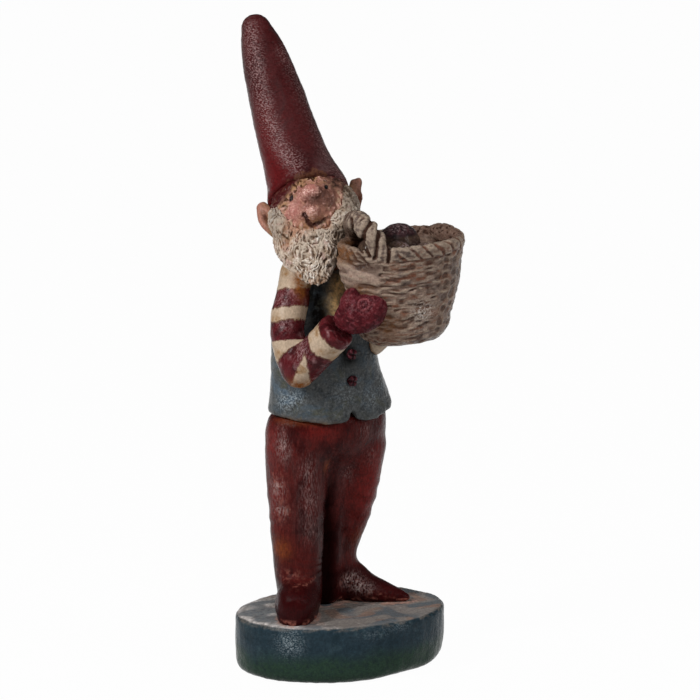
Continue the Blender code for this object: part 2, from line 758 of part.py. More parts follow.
def build_body(seat):
    """Torso, waistcoat and buttons."""
    torso = loft("torso", CREAM, TORSO, (1, 0, 0), rings=10, sides=22, level=True, domes=(0, 0.2))
    carve(torso, seat)
    coat = waistcoat()
    cut_away(coat, hem_notch())
    carve(coat, torso, seat)
    for index, height in enumerate(BUTTON_HEIGHTS):
        carve(button(index + 1, height), coat)
    return torso, coat


def build_basket():
    """Tub, rim, handles, bed and fruit."""
    frame = basket_frame()
    tub = basket_tub(frame)
    rim = basket_rim(frame)
    right = basket_handle("basket_handle_right", frame, RIGHT_HANDLE)
    left = ellipsoid("basket_handle_left", WICKER, LEFT_HANDLE_PLACE, LEFT_HANDLE_HALF, sides=14)
    into_frame(left, frame)
    carve(right, rim, tub)
    carve(left, rim, tub)
    bed = basket_bed(frame)
    placed = []
    for index in range(len(FRUITS)):
        piece = fruit(index, frame)
        carve(piece, bed, tub, rim, right, *placed)
        placed.append(piece)
    bpy.data.objects.remove(frame)
    return [tub, rim, right, left]


def build_arms(torso, coat, basket):
    """Sleeves and mittens round the basket."""
    right = sleeve("right_sleeve", RIGHT_UPPER_ARM, RIGHT_FOREARM)
    left = sleeve("left_sleeve", LEFT_UPPER_ARM, LEFT_FOREARM)
    carve(right, torso, coat, *basket)
    carve(left, torso, coat, *basket)
    right_hand = mitten("right_mitten", *RIGHT_MITTEN)
    left_hand = mitten("left_mitten", *LEFT_MITTEN)
    carve(right_hand, right, *basket)
    carve(left_hand, left, coat, *basket)
    return [right, left, right_hand, left_hand]


def build_head(torso, coat, arms, basket):
    """Head, hat, nose, ears, hair and beard."""
    head = ellipsoid("head", SKIN, HEAD_CENTRE, HEAD_RADII, head_axes(), 22)
    lip = ellipsoid("lip", SKIN, on_head(*LIP_PLACE), LIP_HALF, head_axes(), 10)
    weld(head, lip)
    carve(head, torso)
    cap = hat()
    carve(cap, head)
    nose = ellipsoid("nose", SKIN, on_head(*NOSE_PLACE), NOSE_HALF, head_axes(), 12)
    carve(nose, head)
    right_ear = ear("right_ear", -1, RIGHT_EAR_TIP)
    left_ear = ear("left_ear", 1, LEFT_EAR_TIP)
    carve(right_ear, head, cap)
    carve(left_ear, head, cap)
    lock = hair()
    carve(lock, head, cap, right_ear, left_ear, torso, coat, *arms)
    whiskers = beard()
    carve(whiskers, head, nose, right_ear, left_ear, cap, torso, coat, *arms, *basket)


def set_on_plinth():
    """Turns the whole figure and lifts it from its own ground to the top of the plinth."""
    place = Matrix.Translation(FIGURE_STANDS_AT) @ Matrix.Rotation(FIGURE_TURN, 4, "Z")
    for obj in bpy.context.scene.objects:
        obj.data.transform(place)


def shade_round():
    """Shades every piece smooth, except across its sharp edges."""
    for obj in bpy.context.scene.objects:
        obj.data.shade_smooth()
        obj.data.set_sharp_from_angle(angle=SHARP_ANGLE)


clear_scene()
seat, *rods = build_legs()
torso, coat = build_body(seat)
basket = build_basket()
arms = build_arms(torso, coat, basket)
build_head(torso, coat, arms, basket)
set_on_plinth()
carve(plinth(), *rods)
shade_round()
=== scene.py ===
"""The looks of the nisse with a basket: hand-modelled clay under worn, hand-brushed paint.

Every piece starts from its solids in the frame. They are grown a little, so that they meet, and turned
into a coarse even skin in which their facets melt away, and that into a fine one. Then the piece's own
relief is pushed into the skin, and the masks that the paint needs are kept on its points.
Reliefs are written in millimetres, in the frame of the figure, of the head or of the basket.
"""

import itertools
import math

import bmesh
import bpy
import numpy as np
from mathutils import Matrix, Vector
from mathutils.bvhtree import BVHTree

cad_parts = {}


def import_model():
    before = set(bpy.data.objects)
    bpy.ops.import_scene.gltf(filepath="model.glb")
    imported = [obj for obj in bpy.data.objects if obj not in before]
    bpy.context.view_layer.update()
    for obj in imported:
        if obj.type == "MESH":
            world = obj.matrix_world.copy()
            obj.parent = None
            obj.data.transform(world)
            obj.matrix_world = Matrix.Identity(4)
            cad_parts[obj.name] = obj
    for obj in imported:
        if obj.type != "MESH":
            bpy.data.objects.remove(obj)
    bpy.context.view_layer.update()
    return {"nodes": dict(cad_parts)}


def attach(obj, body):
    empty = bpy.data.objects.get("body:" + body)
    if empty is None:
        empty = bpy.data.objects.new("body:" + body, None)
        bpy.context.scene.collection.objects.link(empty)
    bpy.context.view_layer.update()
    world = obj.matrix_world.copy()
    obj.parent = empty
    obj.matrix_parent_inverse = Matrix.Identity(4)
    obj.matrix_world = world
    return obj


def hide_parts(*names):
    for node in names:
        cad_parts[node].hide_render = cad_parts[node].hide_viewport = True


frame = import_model()

MM = 0.001
BODY = "root"
HIDDEN_NODES = ("right_leg_rod", "left_leg_rod")
# Corners this near to each other are one, solids grow by this much, and a seam is felt this far away
WELD = 0.002 * MM
GROW = 0.45 * MM
SEAM_REACH = 5 * MM
COARSER = 1.0

# Each round of fairing pulls the points in by the first share and pushes them out by the second, and each
# round of melting only pulls them in
FAIRING = (0.6, -0.61)
MELTING = (0.5,)
FACET_ROUNDS = 36
FINE_ROUNDS = 6

# The surroundings of a point are this many rounds of neighbours, and the masks for hollows and ridges
# start and are full this far below and above them, in millimetres. The paints darken hollows as painted
# shade and lighten ridges as painted highlight and wear
HOLLOW_ROUNDS = 5
HOLLOW_DEPTH = (0.05, 0.26)
RIDGE_HEIGHT = (0.04, 0.2)

# Where the figure stands and how its head and its basket are set, as in the solids
FIGURE_STANDS_AT = Vector((-2.9, -6.4, 36)) * MM
FIGURE_TURN = math.radians(7)
HEAD_CENTRE = Vector((-12.8, 11.6, 253)) * MM
HEAD_TURN = math.radians(-32)
HEAD_LIFT = math.radians(38)
HEAD_LEAN = math.radians(17)
BASKET_FOOT = Vector((21, -41.5, 175.5)) * MM
BASKET_TILT = math.radians(-3)

# The photograph's view: the point aimed at, the way round and up to the camera, and its lens
CAMERA_AIM = Vector((2.3, -9.7, 200.3)) * MM
CAMERA_AZIMUTH = math.radians(-25)
CAMERA_ELEVATION = math.radians(12)
CAMERA_DISTANCE = 3.066
CAMERA_LENS = 258.35
CAMERA_SENSOR = 36
CAMERA_REACH = 20
# Level directions across that view and towards its camera, in the figure's frame and the basket's
PHOTO_ACROSS = np.array((0.848, -0.53))
PHOTO_TOWARD = np.array((-0.53, -0.848, 0))


def head_matrix():
    toward = Vector((math.sin(HEAD_TURN), -math.cos(HEAD_TURN), 0))
    side = Vector((math.cos(HEAD_TURN), math.sin(HEAD_TURN), 0))
    forward = toward * math.cos(HEAD_LIFT) + Vector((0, 0, math.sin(HEAD_LIFT)))
    level_up = Vector((0, 0, math.cos(HEAD_LIFT))) - toward * math.sin(HEAD_LIFT)
    up = level_up * math.cos(HEAD_LEAN) - side * math.sin(HEAD_LEAN)
    left = side * math.cos(HEAD_LEAN) + level_up * math.sin(HEAD_LEAN)
    axes = Matrix((left, forward, up)).transposed().to_4x4()
    return Matrix.Translation(HEAD_CENTRE) @ axes


FIGURE = Matrix.Translation(FIGURE_STANDS_AT) @ Matrix.Rotation(FIGURE_TURN, 4, "Z")
HEAD = FIGURE @ head_matrix()
BASKET = FIGURE @ Matrix.Translation(BASKET_FOOT) @ Matrix.Rotation(BASKET_TILT, 4, "Y")


# Numbers on points

# Large odd factors that stir the three numbers of a cell and a salt into one
STIR = (374761393, 668265263, 974634777)
STIR_SALT = 40503
STIR_AGAIN = np.uint32(1274126177)
# How far a scattered dot lies from the middle of its cell at most
DOT_SPREAD = 0.4


def local(points, place):
    """Points in millimetres in a frame that is set at this place."""
    inverse = np.array(place.inverted())
    return (points @ inverse[:3, :3].T + inverse[:3, 3]) / MM


def turned(normals, place):
    """Directions in a frame that is set at this place."""
    return normals @ np.array(place)[:3, :3]


def facing_front(normals, low, high):
    """0 to 1 for how far a surface faces the figure's front."""
    return ramp(low, high, -turned(normals, FIGURE)[:, 1])


def facing_camera(normals):
    """1 on what faces the photograph's camera, 0 on what faces away."""
    return ramp(0, 0.4, turned(normals, FIGURE) @ PHOTO_TOWARD)


def across_photo(place):
    """How far to the right a place lies in the photograph."""
    return place[:, :2] @ PHOTO_ACROSS


def eased(share):
    """The same share from 0 to 1, with a soft start and end."""
    return share * share * (3 - 2 * share)


def ramp(low, high, values):
    """A soft step from 0 at low to 1 at high."""
    return eased(np.clip((values - low) / (high - low), 0, 1))


def hashed(cells, salt):
    """A number from -1 to 1 for each whole-numbered cell."""
    bits = cells[:, 0] * STIR[0] + cells[:, 1] * STIR[1] + cells[:, 2] * STIR[2] + salt * STIR_SALT
    bits = bits.astype(np.uint32)
    bits = (bits ^ (bits >> 13)) * STIR_AGAIN
    bits ^= bits >> 16
    return bits / 2.0**31 - 1


def noise(places, size, salt=0):
    """Smooth lumps from -1 to 1, of this size in millimetres, or of three sizes along the axes.

    The salt, a number of no other meaning, picks one pattern of lumps.
    """
    scaled = places / np.array(size, float)
    cell = np.floor(scaled).astype(np.int64)
    share = eased(scaled - cell)
    total = np.zeros(len(places))
    for corner in itertools.product((0, 1), repeat=3):
        weight = np.prod(np.where(corner, share, 1 - share), axis=1)
        total += weight * hashed(cell + corner, salt)
    return total


def fractal(places, size, octaves, salt):
    """Lumps with finer lumps on them."""
    return sum(noise(places, size / 2**step, salt + step) / 2**step for step in range(octaves))


def warped(places, size, by, salt=50):
    """The same places moved about smoothly by up to this many millimetres."""
    moves = [noise(places, size, salt + axis) for axis in range(3)]
    return places + by * np.stack(moves, axis=1)


def pits(places, size, salt):
    """The distance to the nearest of many scattered dots, one to each cell, as a share of the cell."""
    scaled = places / np.array(size, float)
    cell = np.floor(scaled).astype(np.int64)
    nearest = np.full(len(places), np.inf)
    for step in itertools.product((-1, 0, 1), repeat=3):
        other = cell + step
        dot = np.stack([hashed(other, salt + axis) * DOT_SPREAD + 0.5 for axis in range(3)], axis=1)
        nearest = np.minimum(nearest, np.linalg.norm(other + dot - scaled, axis=1))
    return nearest


def crests(places, size, salt):
    """Narrow ridges that wander about: 1 on them, about 0 on the whole and lower between."""
    return 1 - 4 * np.abs(noise(places, size, salt))


def waves(along, height, spacing):
    """Even waves along a distance."""
    return height * np.sin(along * 2 * math.pi / spacing)


def mound(first, second, centre, radii):
    """A soft bump over two coordinates."""
    across = (first - centre[0]) / radii[0]
    along = (second - centre[1]) / radii[1]
    return np.exp(-(across**2) - along**2)


def mounds(first, second, patches):
    """The sum of soft bumps, each a centre, its radii and its strength, kept from 0 to 1."""
    return np.clip(sum(strength * mound(first, second, *patch) for *patch, strength in patches), 0, 1)


def spot(place, centre, radii):
    """A soft patch round a place."""
    return np.exp(-np.sum(((place - np.array(centre)) / np.array(radii)) ** 2, axis=1))


def spots(place, patches):
    """The sum of soft patches, each a place, its radii and its strength, kept from 0 to 1."""
    return np.clip(sum(strength * spot(place, *patch) for *patch, strength in patches), 0, 1)


def groove_to(first, second, line):
    """Distance to a line of joined points over two coordinates."""
    spot_at = np.stack([first, second], axis=1)
    nearest = np.full(len(spot_at), np.inf)
    for start, end in zip(line, line[1:]):
        start = np.array(start, float)
        along = np.array(end, float) - start
        share = np.clip((spot_at - start) @ along / (along @ along), 0, 1)
        nearest = np.minimum(nearest, np.linalg.norm(spot_at - start - share[:, None] * along, axis=1))
    return nearest


def cut(distance, width):
    """A rounded groove, 1 at its bottom, for distances from its line."""
    return np.exp(-((distance / width) ** 2))


def grooves(first, second, lines):
    """Rounded grooves along lines, each with its width and its depth."""
    cuts = [depth * cut(groove_to(first, second, line), width) for line, width, depth in lines]
    return np.max(cuts, axis=0)


# From solids to a fine skin


def placed(name, data):
    """A new object in the scene."""
    obj = bpy.data.objects.new(name, data)
    bpy.context.scene.collection.objects.link(obj)
    return obj


def welded(nodes):
    """The solids of these nodes as one mesh with shared corners, grown outward."""
    shape = bmesh.new()
    for name in nodes:
        shape.from_mesh(frame["nodes"][name].data)
    bmesh.ops.remove_doubles(shape, verts=shape.verts, dist=WELD)
    bmesh.ops.recalc_face_normals(shape, faces=shape.faces)
    shape.normal_update()
    for vert in shape.verts:
        vert.co += vert.normal * GROW
    mesh = bpy.data.meshes.new("welded")
    shape.to_mesh(mesh)
    shape.free()
    return mesh


def voxelled(obj, voxel):
    """Gives the object an even skin of squares of this size in millimetres."""
    step = obj.modifiers.new("voxels", "REMESH")
    step.mode = "VOXEL"
    step.voxel_size = voxel * MM * COARSER
    graph = bpy.context.evaluated_depsgraph_get()
    mesh = bpy.data.meshes.new_from_object(obj.evaluated_get(graph))
    obj.modifiers.clear()
    obj.data = mesh


def rows_of(items, key, width, kind=np.float32):
    """What these items hold under a key, a row of this width to each."""
    flat = np.empty(len(items) * width, kind)
    items.foreach_get(key, flat)
    return flat.reshape(-1, width)


def points_of(mesh):
    return rows_of(mesh.vertices, "co", 3).astype(float)


def normals_of(mesh):
    return rows_of(mesh.vertex_normals, "vector", 3).astype(float)


def edges_of(mesh):
    return rows_of(mesh.edges, "vertices", 2, np.int32)


def set_points(mesh, points):
    mesh.vertices.foreach_set("co", points.astype(np.float32).ravel())
    mesh.update()


def neighbour_mean(values, edges):
    """For each point, the mean of the values at the points it shares an edge with."""
    first, second = edges.T
    count = len(values)
    degree = np.bincount(first, minlength=count) + np.bincount(second, minlength=count)
    columns = []
    for column in values.T:
        total = np.bincount(first, column[second], count) + np.bincount(second, column[first], count)
        columns.append(total / np.maximum(degree, 1))
    return np.stack(columns, axis=1)


def smoothed(mesh, shares):
    """Moves every point towards the mean of its neighbours, by each of these shares in turn."""
    points = points_of(mesh)
    edges = edges_of(mesh)
    for share in shares:
        points = points + share * (neighbour_mean(points, edges) - points)
    set_points(mesh, points)


def skin_of(name, nodes, first, melt, fine):
    """An object with a fine even skin round these nodes, without their facets.

    first and fine are the sizes of the squares of the first skin and the last, in millimetres, and melt is
    how many rounds of plain smoothing run the lumps into one another.
    """
    obj = placed(name, welded(nodes))
    voxelled(obj, first)
    smoothed(obj.data, FAIRING * FACET_ROUNDS + MELTING * melt)
    voxelled(obj, fine)
    smoothed(obj.data, FAIRING * FINE_ROUNDS)
    obj.data.shade_smooth()
    return obj


def hollowness(points, normals, edges):
    """How far each point lies below the mean of its surroundings, in millimetres."""
    blurred = points
    for _ in range(max(int(HOLLOW_ROUNDS / COARSER), 1)):
        blurred = neighbour_mean(blurred, edges)
    return np.einsum("ij,ij->i", blurred - points, normals) / MM


def other_nodes(nodes):
    """Every node that can touch these from outside."""
    return [name for name in frame["nodes"] if name not in nodes and name not in HIDDEN_NODES]


def nearness(points, nodes):
    """1 where one of these nodes touches, fading to 0 a little way off."""
    corners = []
    triangles = []
    for name in nodes:
        mesh = frame["nodes"][name].data
        start = len(corners)
        corners.extend(vert.co for vert in mesh.vertices)
        triangles.extend([start + index for index in face.vertices] for face in mesh.polygons)
    tree = BVHTree.FromPolygons(corners, triangles)
    gaps = np.full(len(points), SEAM_REACH)
    for index, point in enumerate(points):
        distance = tree.find_nearest(point, SEAM_REACH)[3]
        if distance is not None:
            gaps[index] = distance
    return 1 - gaps / SEAM_REACH


def clay_piece(name, nodes, relief, material, first=1.5, melt=0, fine=0.6):
    """A finished piece: the skin of its nodes with its relief, masks and paint, kept above the floor."""
    obj = skin_of(name, nodes, first, melt, fine)
    mesh = obj.data
    points = points_of(mesh)
    normals = normals_of(mesh)
    push, masks = relief(points, normals)
    points = points + normals * push[:, None] * MM
    points[:, 2] = np.maximum(points[:, 2], 0)
    set_points(mesh, points)
    sunk = hollowness(points, normals_of(mesh), edges_of(mesh))
    # Hollows are painted darker as shade, ridges lighter as painted highlight and wear
    masks["hollow"] = ramp(*HOLLOW_DEPTH, sunk)
    masks["ridge_highlight_and_wear"] = ramp(*RIDGE_HEIGHT, -sunk)
    masks["seam"] = nearness(points, other_nodes(nodes))
    for mask, values in masks.items():
        kept = mesh.attributes.new(mask, "FLOAT", "POINT")
        kept.data.foreach_set("value", values.astype(np.float32))
    mesh.materials.clear()
    mesh.materials.append(material)
    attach(obj, BODY)
    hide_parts(*nodes)


# Paint. Sizes of noises and streaks are level and upright ones, in millimetres.

GRAIN_SIZES = (2.4, 2.4)
SPECK_SIZES = (1.1, 1.1)
# A noise keeps within about a sixth to either side of a half, so this brings it to between -1 and 1
NOISE_GAIN = 6
NOISE_ROUGHNESS = 0.55
PATCH_WARP = 0.6
PATCH_EDGE = 0.07
# Patches that cover all or nothing start this far below or above a half of their noise
PATCH_RANGE = 0.25
# The tops of the orange peel, which take the specks of painted highlight: what their height is multiplied
# by, and what is added
PEEL_TOPS = (6.0, -2.7)
STREAK_HEIGHT = 0.6
LEAST_TONE = 0.25
GLOSS_RANGE = 0.3


def light(screen):
    """A colour as it looks on a screen, from 0 to 255, as the light it gives back, by the sRGB curve."""
    shares = [channel / 255 for channel in screen]
    return tuple(s / 12.92 if s <= 0.04045 else ((s + 0.055) / 1.055) ** 2.4 for s in shares) + (1,)


def feed(tree, socket, value):
    """Links a socket to another one, or sets its value."""
    if isinstance(value, bpy.types.NodeSocket):
        tree.links.new(value, socket)
    elif value is not None:
        socket.default_value = value


def add(tree, kind, settings=None, **inputs):
    """A shader node with its settings, and its inputs set or linked by name."""
    made = tree.nodes.new("ShaderNode" + kind)
    for key, value in (settings or {}).items():
        setattr(made, key, value)
    for key, value in inputs.items():
        feed(tree, made.inputs[key.replace("_", " ")], value)
    return made


def math_node(tree, operation, first, second, third=None, clamp=False):
    made = add(tree, "Math", {"operation": operation, "use_clamp": clamp})
    for socket, value in zip(made.inputs, (first, second, third)):
        feed(tree, socket, value)
    return made.outputs[0]


def mixed(tree, share, first, second, blend="MIX"):
    """Two colours mixed by a share. The node's sockets for colours are inputs 0, 6 and 7 and output 2."""
    made = add(tree, "Mix", {"data_type": "RGBA", "blend_type": blend, "clamp_factor": True})
    for index, value in ((0, share), (6, first), (7, second)):
        feed(tree, made.inputs[index], value)
    return made.outputs[2]


def mask_node(tree, mask):
    """What the skin keeps on its points under this name."""
    return add(tree, "Attribute", {"attribute_name": mask}).outputs["Fac"]


def noise_node(tree, coordinates, sizes, detail=3.0, distortion=0.0):
    """A noise whose lumps have these sizes."""
    level, upright = sizes
    stretched = add(tree, "VectorMath", {"operation": "MULTIPLY"})
    feed(tree, stretched.inputs[0], coordinates)
    feed(tree, stretched.inputs[1], tuple(1 / (size * MM) for size in (level, level, upright)))
    settings = {"Scale": 1.0, "Detail": detail, "Roughness": NOISE_ROUGHNESS, "Distortion": distortion}
    return add(tree, "TexNoise", Vector=stretched.outputs[0], **settings).outputs["Fac"]


def patched(tree, coordinates, colour, patches):
    """Patches of other colours over a colour, each (colour, sizes, share of the surface)."""
    for patch_colour, sizes, share in patches:
        spread = noise_node(tree, coordinates, sizes, distortion=PATCH_WARP)
        start = 0.5 - (2 * share - 1) * PATCH_RANGE
        limits = {"From_Min": start - PATCH_EDGE, "From_Max": start + PATCH_EDGE}
        edge = add(tree, "MapRange", {"clamp": True}, Value=spread, **limits)
        colour = mixed(tree, edge.outputs[0], colour, light(patch_colour))
    return colour


def layered(tree, grain, colour, layers):
    """Layers that masks call for, each (mask, colour, how far the paint's grain breaks the mask up)."""
    for mask, layer_colour, broken in layers:
        amount = mask_node(tree, mask)
        if broken:
            centred = math_node(tree, "SUBTRACT", grain, 0.5)
            gain = math_node(tree, "MULTIPLY_ADD", centred, NOISE_GAIN * broken, 1.0)
            amount = math_node(tree, "MULTIPLY", amount, gain, clamp=True)
        colour = mixed(tree, amount, colour, light(layer_colour))
    return colour


def highlighted(tree, orange_peel, colour, painted_highlight):
    """Specks of painted highlight on the orange peel's tops, where their mask calls for them."""
    tops = math_node(tree, "MULTIPLY_ADD", orange_peel, *PEEL_TOPS)
    amount = math_node(tree, "MULTIPLY", mask_node(tree, "painted_highlight"), tops, clamp=True)
    return mixed(tree, amount, colour, light(painted_highlight))


def painted(
    name, base, patches=(), layers=(), streak=(2, 2), streak_depth=0.16, mottle=0.16, rough=0.26, peel=0.2,
    peel_sizes=(1.1, 1.1), specular=0.08, painted_highlight=None,
):
    """Brushed paint: a base colour, patches, the layers that the masks call for, brush streaks and specks.

    peel is the height in millimetres of the orange peel that breaks up the highlights, and the last colour
    is that of the specks of painted highlight on its tops. The mask matt takes the shine away.
    """
    material = bpy.data.materials.new(name)
    material.use_nodes = True
    tree = material.node_tree
    coordinates = add(tree, "TexCoord").outputs["Object"]
    streaks = noise_node(tree, coordinates, streak)
    grain = noise_node(tree, coordinates, GRAIN_SIZES, detail=4.0)
    specks = noise_node(tree, coordinates, SPECK_SIZES)
    orange_peel = noise_node(tree, coordinates, peel_sizes, detail=2.0)
    colour = patched(tree, coordinates, light(base), patches)
    colour = layered(tree, grain, colour, layers)
    if painted_highlight:
        colour = highlighted(tree, orange_peel, colour, painted_highlight)
    middle = 1 - NOISE_GAIN / 2 * (streak_depth + mottle)
    swing = math_node(tree, "MULTIPLY_ADD", streaks, NOISE_GAIN * streak_depth, middle)
    swing = math_node(tree, "MULTIPLY_ADD", specks, NOISE_GAIN * mottle, swing)
    swing = math_node(tree, "MAXIMUM", swing, LEAST_TONE)
    tone = add(tree, "CombineColor", Red=swing, Green=swing, Blue=swing).outputs[0]
    height = math_node(tree, "MULTIPLY_ADD", streaks, STREAK_HEIGHT, orange_peel)
    ends = {
        "Base Color": mixed(tree, 1.0, colour, tone, "MULTIPLY"),
        "Roughness": math_node(tree, "MULTIPLY_ADD", grain, GLOSS_RANGE, rough - GLOSS_RANGE / 2),
        "Specular IOR Level": math_node(tree, "MULTIPLY_ADD", mask_node(tree, "matt"), -specular, specular),
        "Normal": add(tree, "Bump", Strength=1.0, Distance=peel * MM, Height=height).outputs[0],
    }
    for key, socket in ends.items():
        tree.links.new(socket, tree.nodes["Principled BSDF"].inputs[key])
    return material


# In every paint the hollows are painted darker as shade and the ridges lighter as highlight and wear, and the
# last colour paints specks of highlight. BLACK_RED is the painted shade in hollows of red paint
BLACK_RED = (24, 6, 7)
GRIME = (138, 82, 36)
CREAM = (190, 168, 145)

hat_paint = painted(
    "hat_paint", (72, 27, 28),
    patches=[((58, 19, 20), (26, 44), 0.45), ((64, 36, 37), (14, 40), 0.25)],
    layers=[
        # Over the red: a brighter red, a painted sheen, painted shade and brown at the brow
        ("glow", (92, 22, 24), 0.2), ("painted_sheen", (98, 74, 74), 0.5), ("shade", (50, 12, 14), 0.2),
        ("hollow", BLACK_RED, 0), ("brow", (98, 62, 46), 0.9),
    ],
    streak=(2.4, 1.0), peel=0.32, peel_sizes=(1.3, 0.65), rough=0.22, specular=0.06, painted_highlight=(140, 108, 107),
)
trouser_paint = painted(
    "trouser_paint", (76, 25, 23),
    patches=[((50, 13, 13), (11, 24), 0.5), ((74, 30, 28), (5, 22), 0.3)],
    layers=[
        # Painted light in the bright red, a painted sheen in grey strokes, painted glints, and a painted
        # shadow between the legs in the dark layer
        ("boot", (50, 10, 11), 0.2), ("bright", (112, 32, 29), 0.4), ("rust", (118, 56, 28), 0.5),
        ("grey_sheen", (82, 56, 56), 0.6), ("hollow", BLACK_RED, 0), ("pale", (148, 90, 78), 0.9),
        ("glint", (212, 192, 186), 0.5), ("dark", (14, 4, 4), 0),
    ],
    streak=(0.9, 5.0), streak_depth=0.2, peel=0.34, peel_sizes=(0.7, 2.6), rough=0.22, specular=0.05,
    painted_highlight=(144, 114, 111),
)
mitten_paint = painted(
    "mitten_paint", (86, 27, 33),
    patches=[((66, 18, 24), (6, 6), 0.5), ((104, 48, 56), (4, 4), 0.22)],
    layers=[("hollow", (52, 15, 21), 0), ("ridge_highlight_and_wear", (118, 58, 62), 0.7), ("grime", (92, 50, 28), 0.6)],
    streak=(1.6, 1.6), mottle=0.1, peel=0.3, rough=0.24, specular=0.05, painted_highlight=(150, 98, 104),
)
sleeve_paint = painted(
    "sleeve_paint", (88, 28, 33),
    patches=[((62, 18, 22), (8, 8), 0.45), ((108, 50, 54), (3, 6), 0.2)],
    layers=[
        ("stripe", CREAM, 0), ("stain", (156, 122, 86), 0.8), ("hem", (94, 54, 38), 0.5),
        ("hollow", (52, 24, 20), 0), ("rubbed", (140, 100, 102), 0.9), ("grime", GRIME, 0.5),
    ],
    streak=(1.3, 2.2), streak_depth=0.12, mottle=0.1, peel=0.15, painted_highlight=(178, 146, 146),
)
waistcoat_paint = painted(
    "waistcoat_paint", (82, 84, 84),
    patches=[
        ((74, 83, 90), (15, 12), 0.4), ((82, 82, 72), (11, 12), 0.3), ((62, 65, 67), (6, 8), 0.35),
        ((102, 104, 104), (2.6, 2.2), 0.2),
    ],
    layers=[
        # The dark layer is a painted shadow, nearly black
        ("blue", (86, 100, 112), 0.6), ("hollow", (24, 28, 30), 0), ("dark", (13, 11, 10), 0.2),
        ("grime", (224, 184, 128), 0.5), ("rust", (136, 92, 44), 0.5),
    ],
    streak=(2.2, 1.4), peel=0.3, rough=0.24, painted_highlight=(158, 168, 174),
)
shirt_paint = painted(
    "shirt_paint", CREAM,
    patches=[((170, 148, 116), (10, 10), 0.4)], layers=[("hollow", (96, 70, 46), 0), ("seam", GRIME, 0.7)],
)
beard_paint = painted(
    "beard_paint", (200, 184, 167),
    patches=[((176, 154, 134), (6, 9), 0.4), ((186, 156, 146), (5, 5), 0.25)],
    layers=[
        # Low hair and the pressed holes are painted darker as shade and the crests lighter as painted
        # highlight; the shade layer is painted shade
        ("sunk", (96, 76, 58), 0.4), ("hollow", (96, 72, 56), 0), ("crest_highlight", (232, 222, 210), 0.6),
        ("skin", (182, 142, 120), 0.8), ("stain", (164, 108, 62), 0.6), ("shade", (74, 60, 50), 0.3),
        ("hole_shade", (72, 54, 40), 0),
    ],
    streak=(0.9, 2.4), streak_depth=0.14, mottle=0.12, peel=0.25, rough=0.3, painted_highlight=(244, 238, 228),
)
skin_paint = painted(
    "skin_paint", (156, 110, 94),
    patches=[((136, 90, 78), (4, 4), 0.45), ((176, 134, 108), (3, 3), 0.3)],
    layers=[
        # The shade, hole and temple layers are painted shade, and the last colour paints specks of highlight
        ("blush", (176, 114, 104), 0.4), ("shade", (94, 62, 53), 0.3), ("chin", (176, 130, 94), 0.6),
        ("whisker", (184, 162, 132), 0.9), ("hollow", (84, 48, 38), 0), ("ridge_highlight_and_wear", (196, 150, 136), 0.6),
        ("brow", (160, 122, 90), 0.5), ("hole_shade", (80, 53, 34), 0.4), ("mouth", (58, 26, 23), 0.2),
        ("temple_shade", (56, 39, 33), 0.4), ("cap", (70, 23, 24), 0.2), ("eye", (20, 18, 20), 0),
    ],
    streak=(1.4, 1.4), streak_depth=0.1, mottle=0.14, peel=0.3, rough=0.22, painted_highlight=(224, 188, 178),
)
ear_paint = painted(
    "ear_paint", (142, 100, 84),
    patches=[((122, 86, 70), (4, 4), 0.45), ((164, 118, 98), (3, 3), 0.3)],
    layers=[
        # The cup and shade layers are painted shade: the ear's hollow and the whole left ear
        ("rim", (168, 118, 102), 0.5), ("shade", (98, 70, 60), 0.3), ("cup", (86, 48, 36), 0.3),
        ("hollow", (88, 52, 38), 0), ("seam", (136, 104, 74), 0.6),
    ],
    streak=(1.4, 1.4), peel=0.14,
)
wicker_paint = painted(
    "wicker_paint", (130, 108, 94),
    patches=[
        ((122, 88, 72), (8, 3.5), 0.4), ((112, 96, 88), (14, 12), 0.4), ((150, 130, 112), (5, 2), 0.25),
    ],
    layers=[
        ("dim", (84, 71, 66), 0.5), ("red", (112, 72, 56), 0.7), ("pale", (164, 141, 127), 0.7),
        # The sunk layer is painted shade in the grooves, dents, furrows and holes and on the handle's far
        # side
        ("hollow", (68, 48, 40), 0), ("ridge_highlight_and_wear", (156, 138, 122), 0.6), ("sunk", (62, 42, 34), 0.4),
        ("inside", (106, 82, 71), 0.4), ("grime", (116, 76, 46), 0.6),
    ],
    streak=(2.6, 0.9), peel=0.3, rough=0.26, painted_highlight=(206, 196, 188),
)
plum_paint = painted(
    "plum_paint", (52, 32, 35),
    patches=[((34, 23, 25), (6, 6), 0.5), ((72, 42, 44), (4, 4), 0.25)],
    layers=[("olive", (86, 68, 56), 0.5), ("hollow", (18, 11, 11), 0), ("seam", (40, 26, 23), 0.5)],
    painted_highlight=(150, 128, 128), peel=0.25, peel_sizes=(1.6, 1.0), rough=0.18,
)
button_paint = painted(
    "button_paint", (56, 18, 24),
    patches=[((40, 12, 18), (2, 2), 0.5)], layers=[("hollow", (16, 7, 9), 0), ("ridge_highlight_and_wear", (98, 46, 54), 0.6)],
    peel=0.1,
)
plinth_paint = painted(
    "plinth_paint", (41, 57, 66),
    patches=[((34, 50, 58), (18, 14), 0.45), ((50, 67, 74), (8, 10), 0.25)],
    layers=[
        # The light layer is painted light on the left end of the top
        ("green", (41, 61, 49), 0.3), ("top", (132, 125, 120), 0), ("light", (208, 201, 197), 0.4),
        ("blue_dab", (84, 94, 101), 0.3), ("peach_dab", (138, 112, 98), 0.3),
        ("dark_dab", (82, 80, 79), 0.5), ("edge", (124, 114, 104), 0.7), ("lap", (178, 140, 126), 0.6),
    ],
    streak=(2.4, 2.4), peel=0.32, peel_sizes=(1.1, 0.8), rough=0.22, specular=0.06, painted_highlight=(134, 146, 152),
)
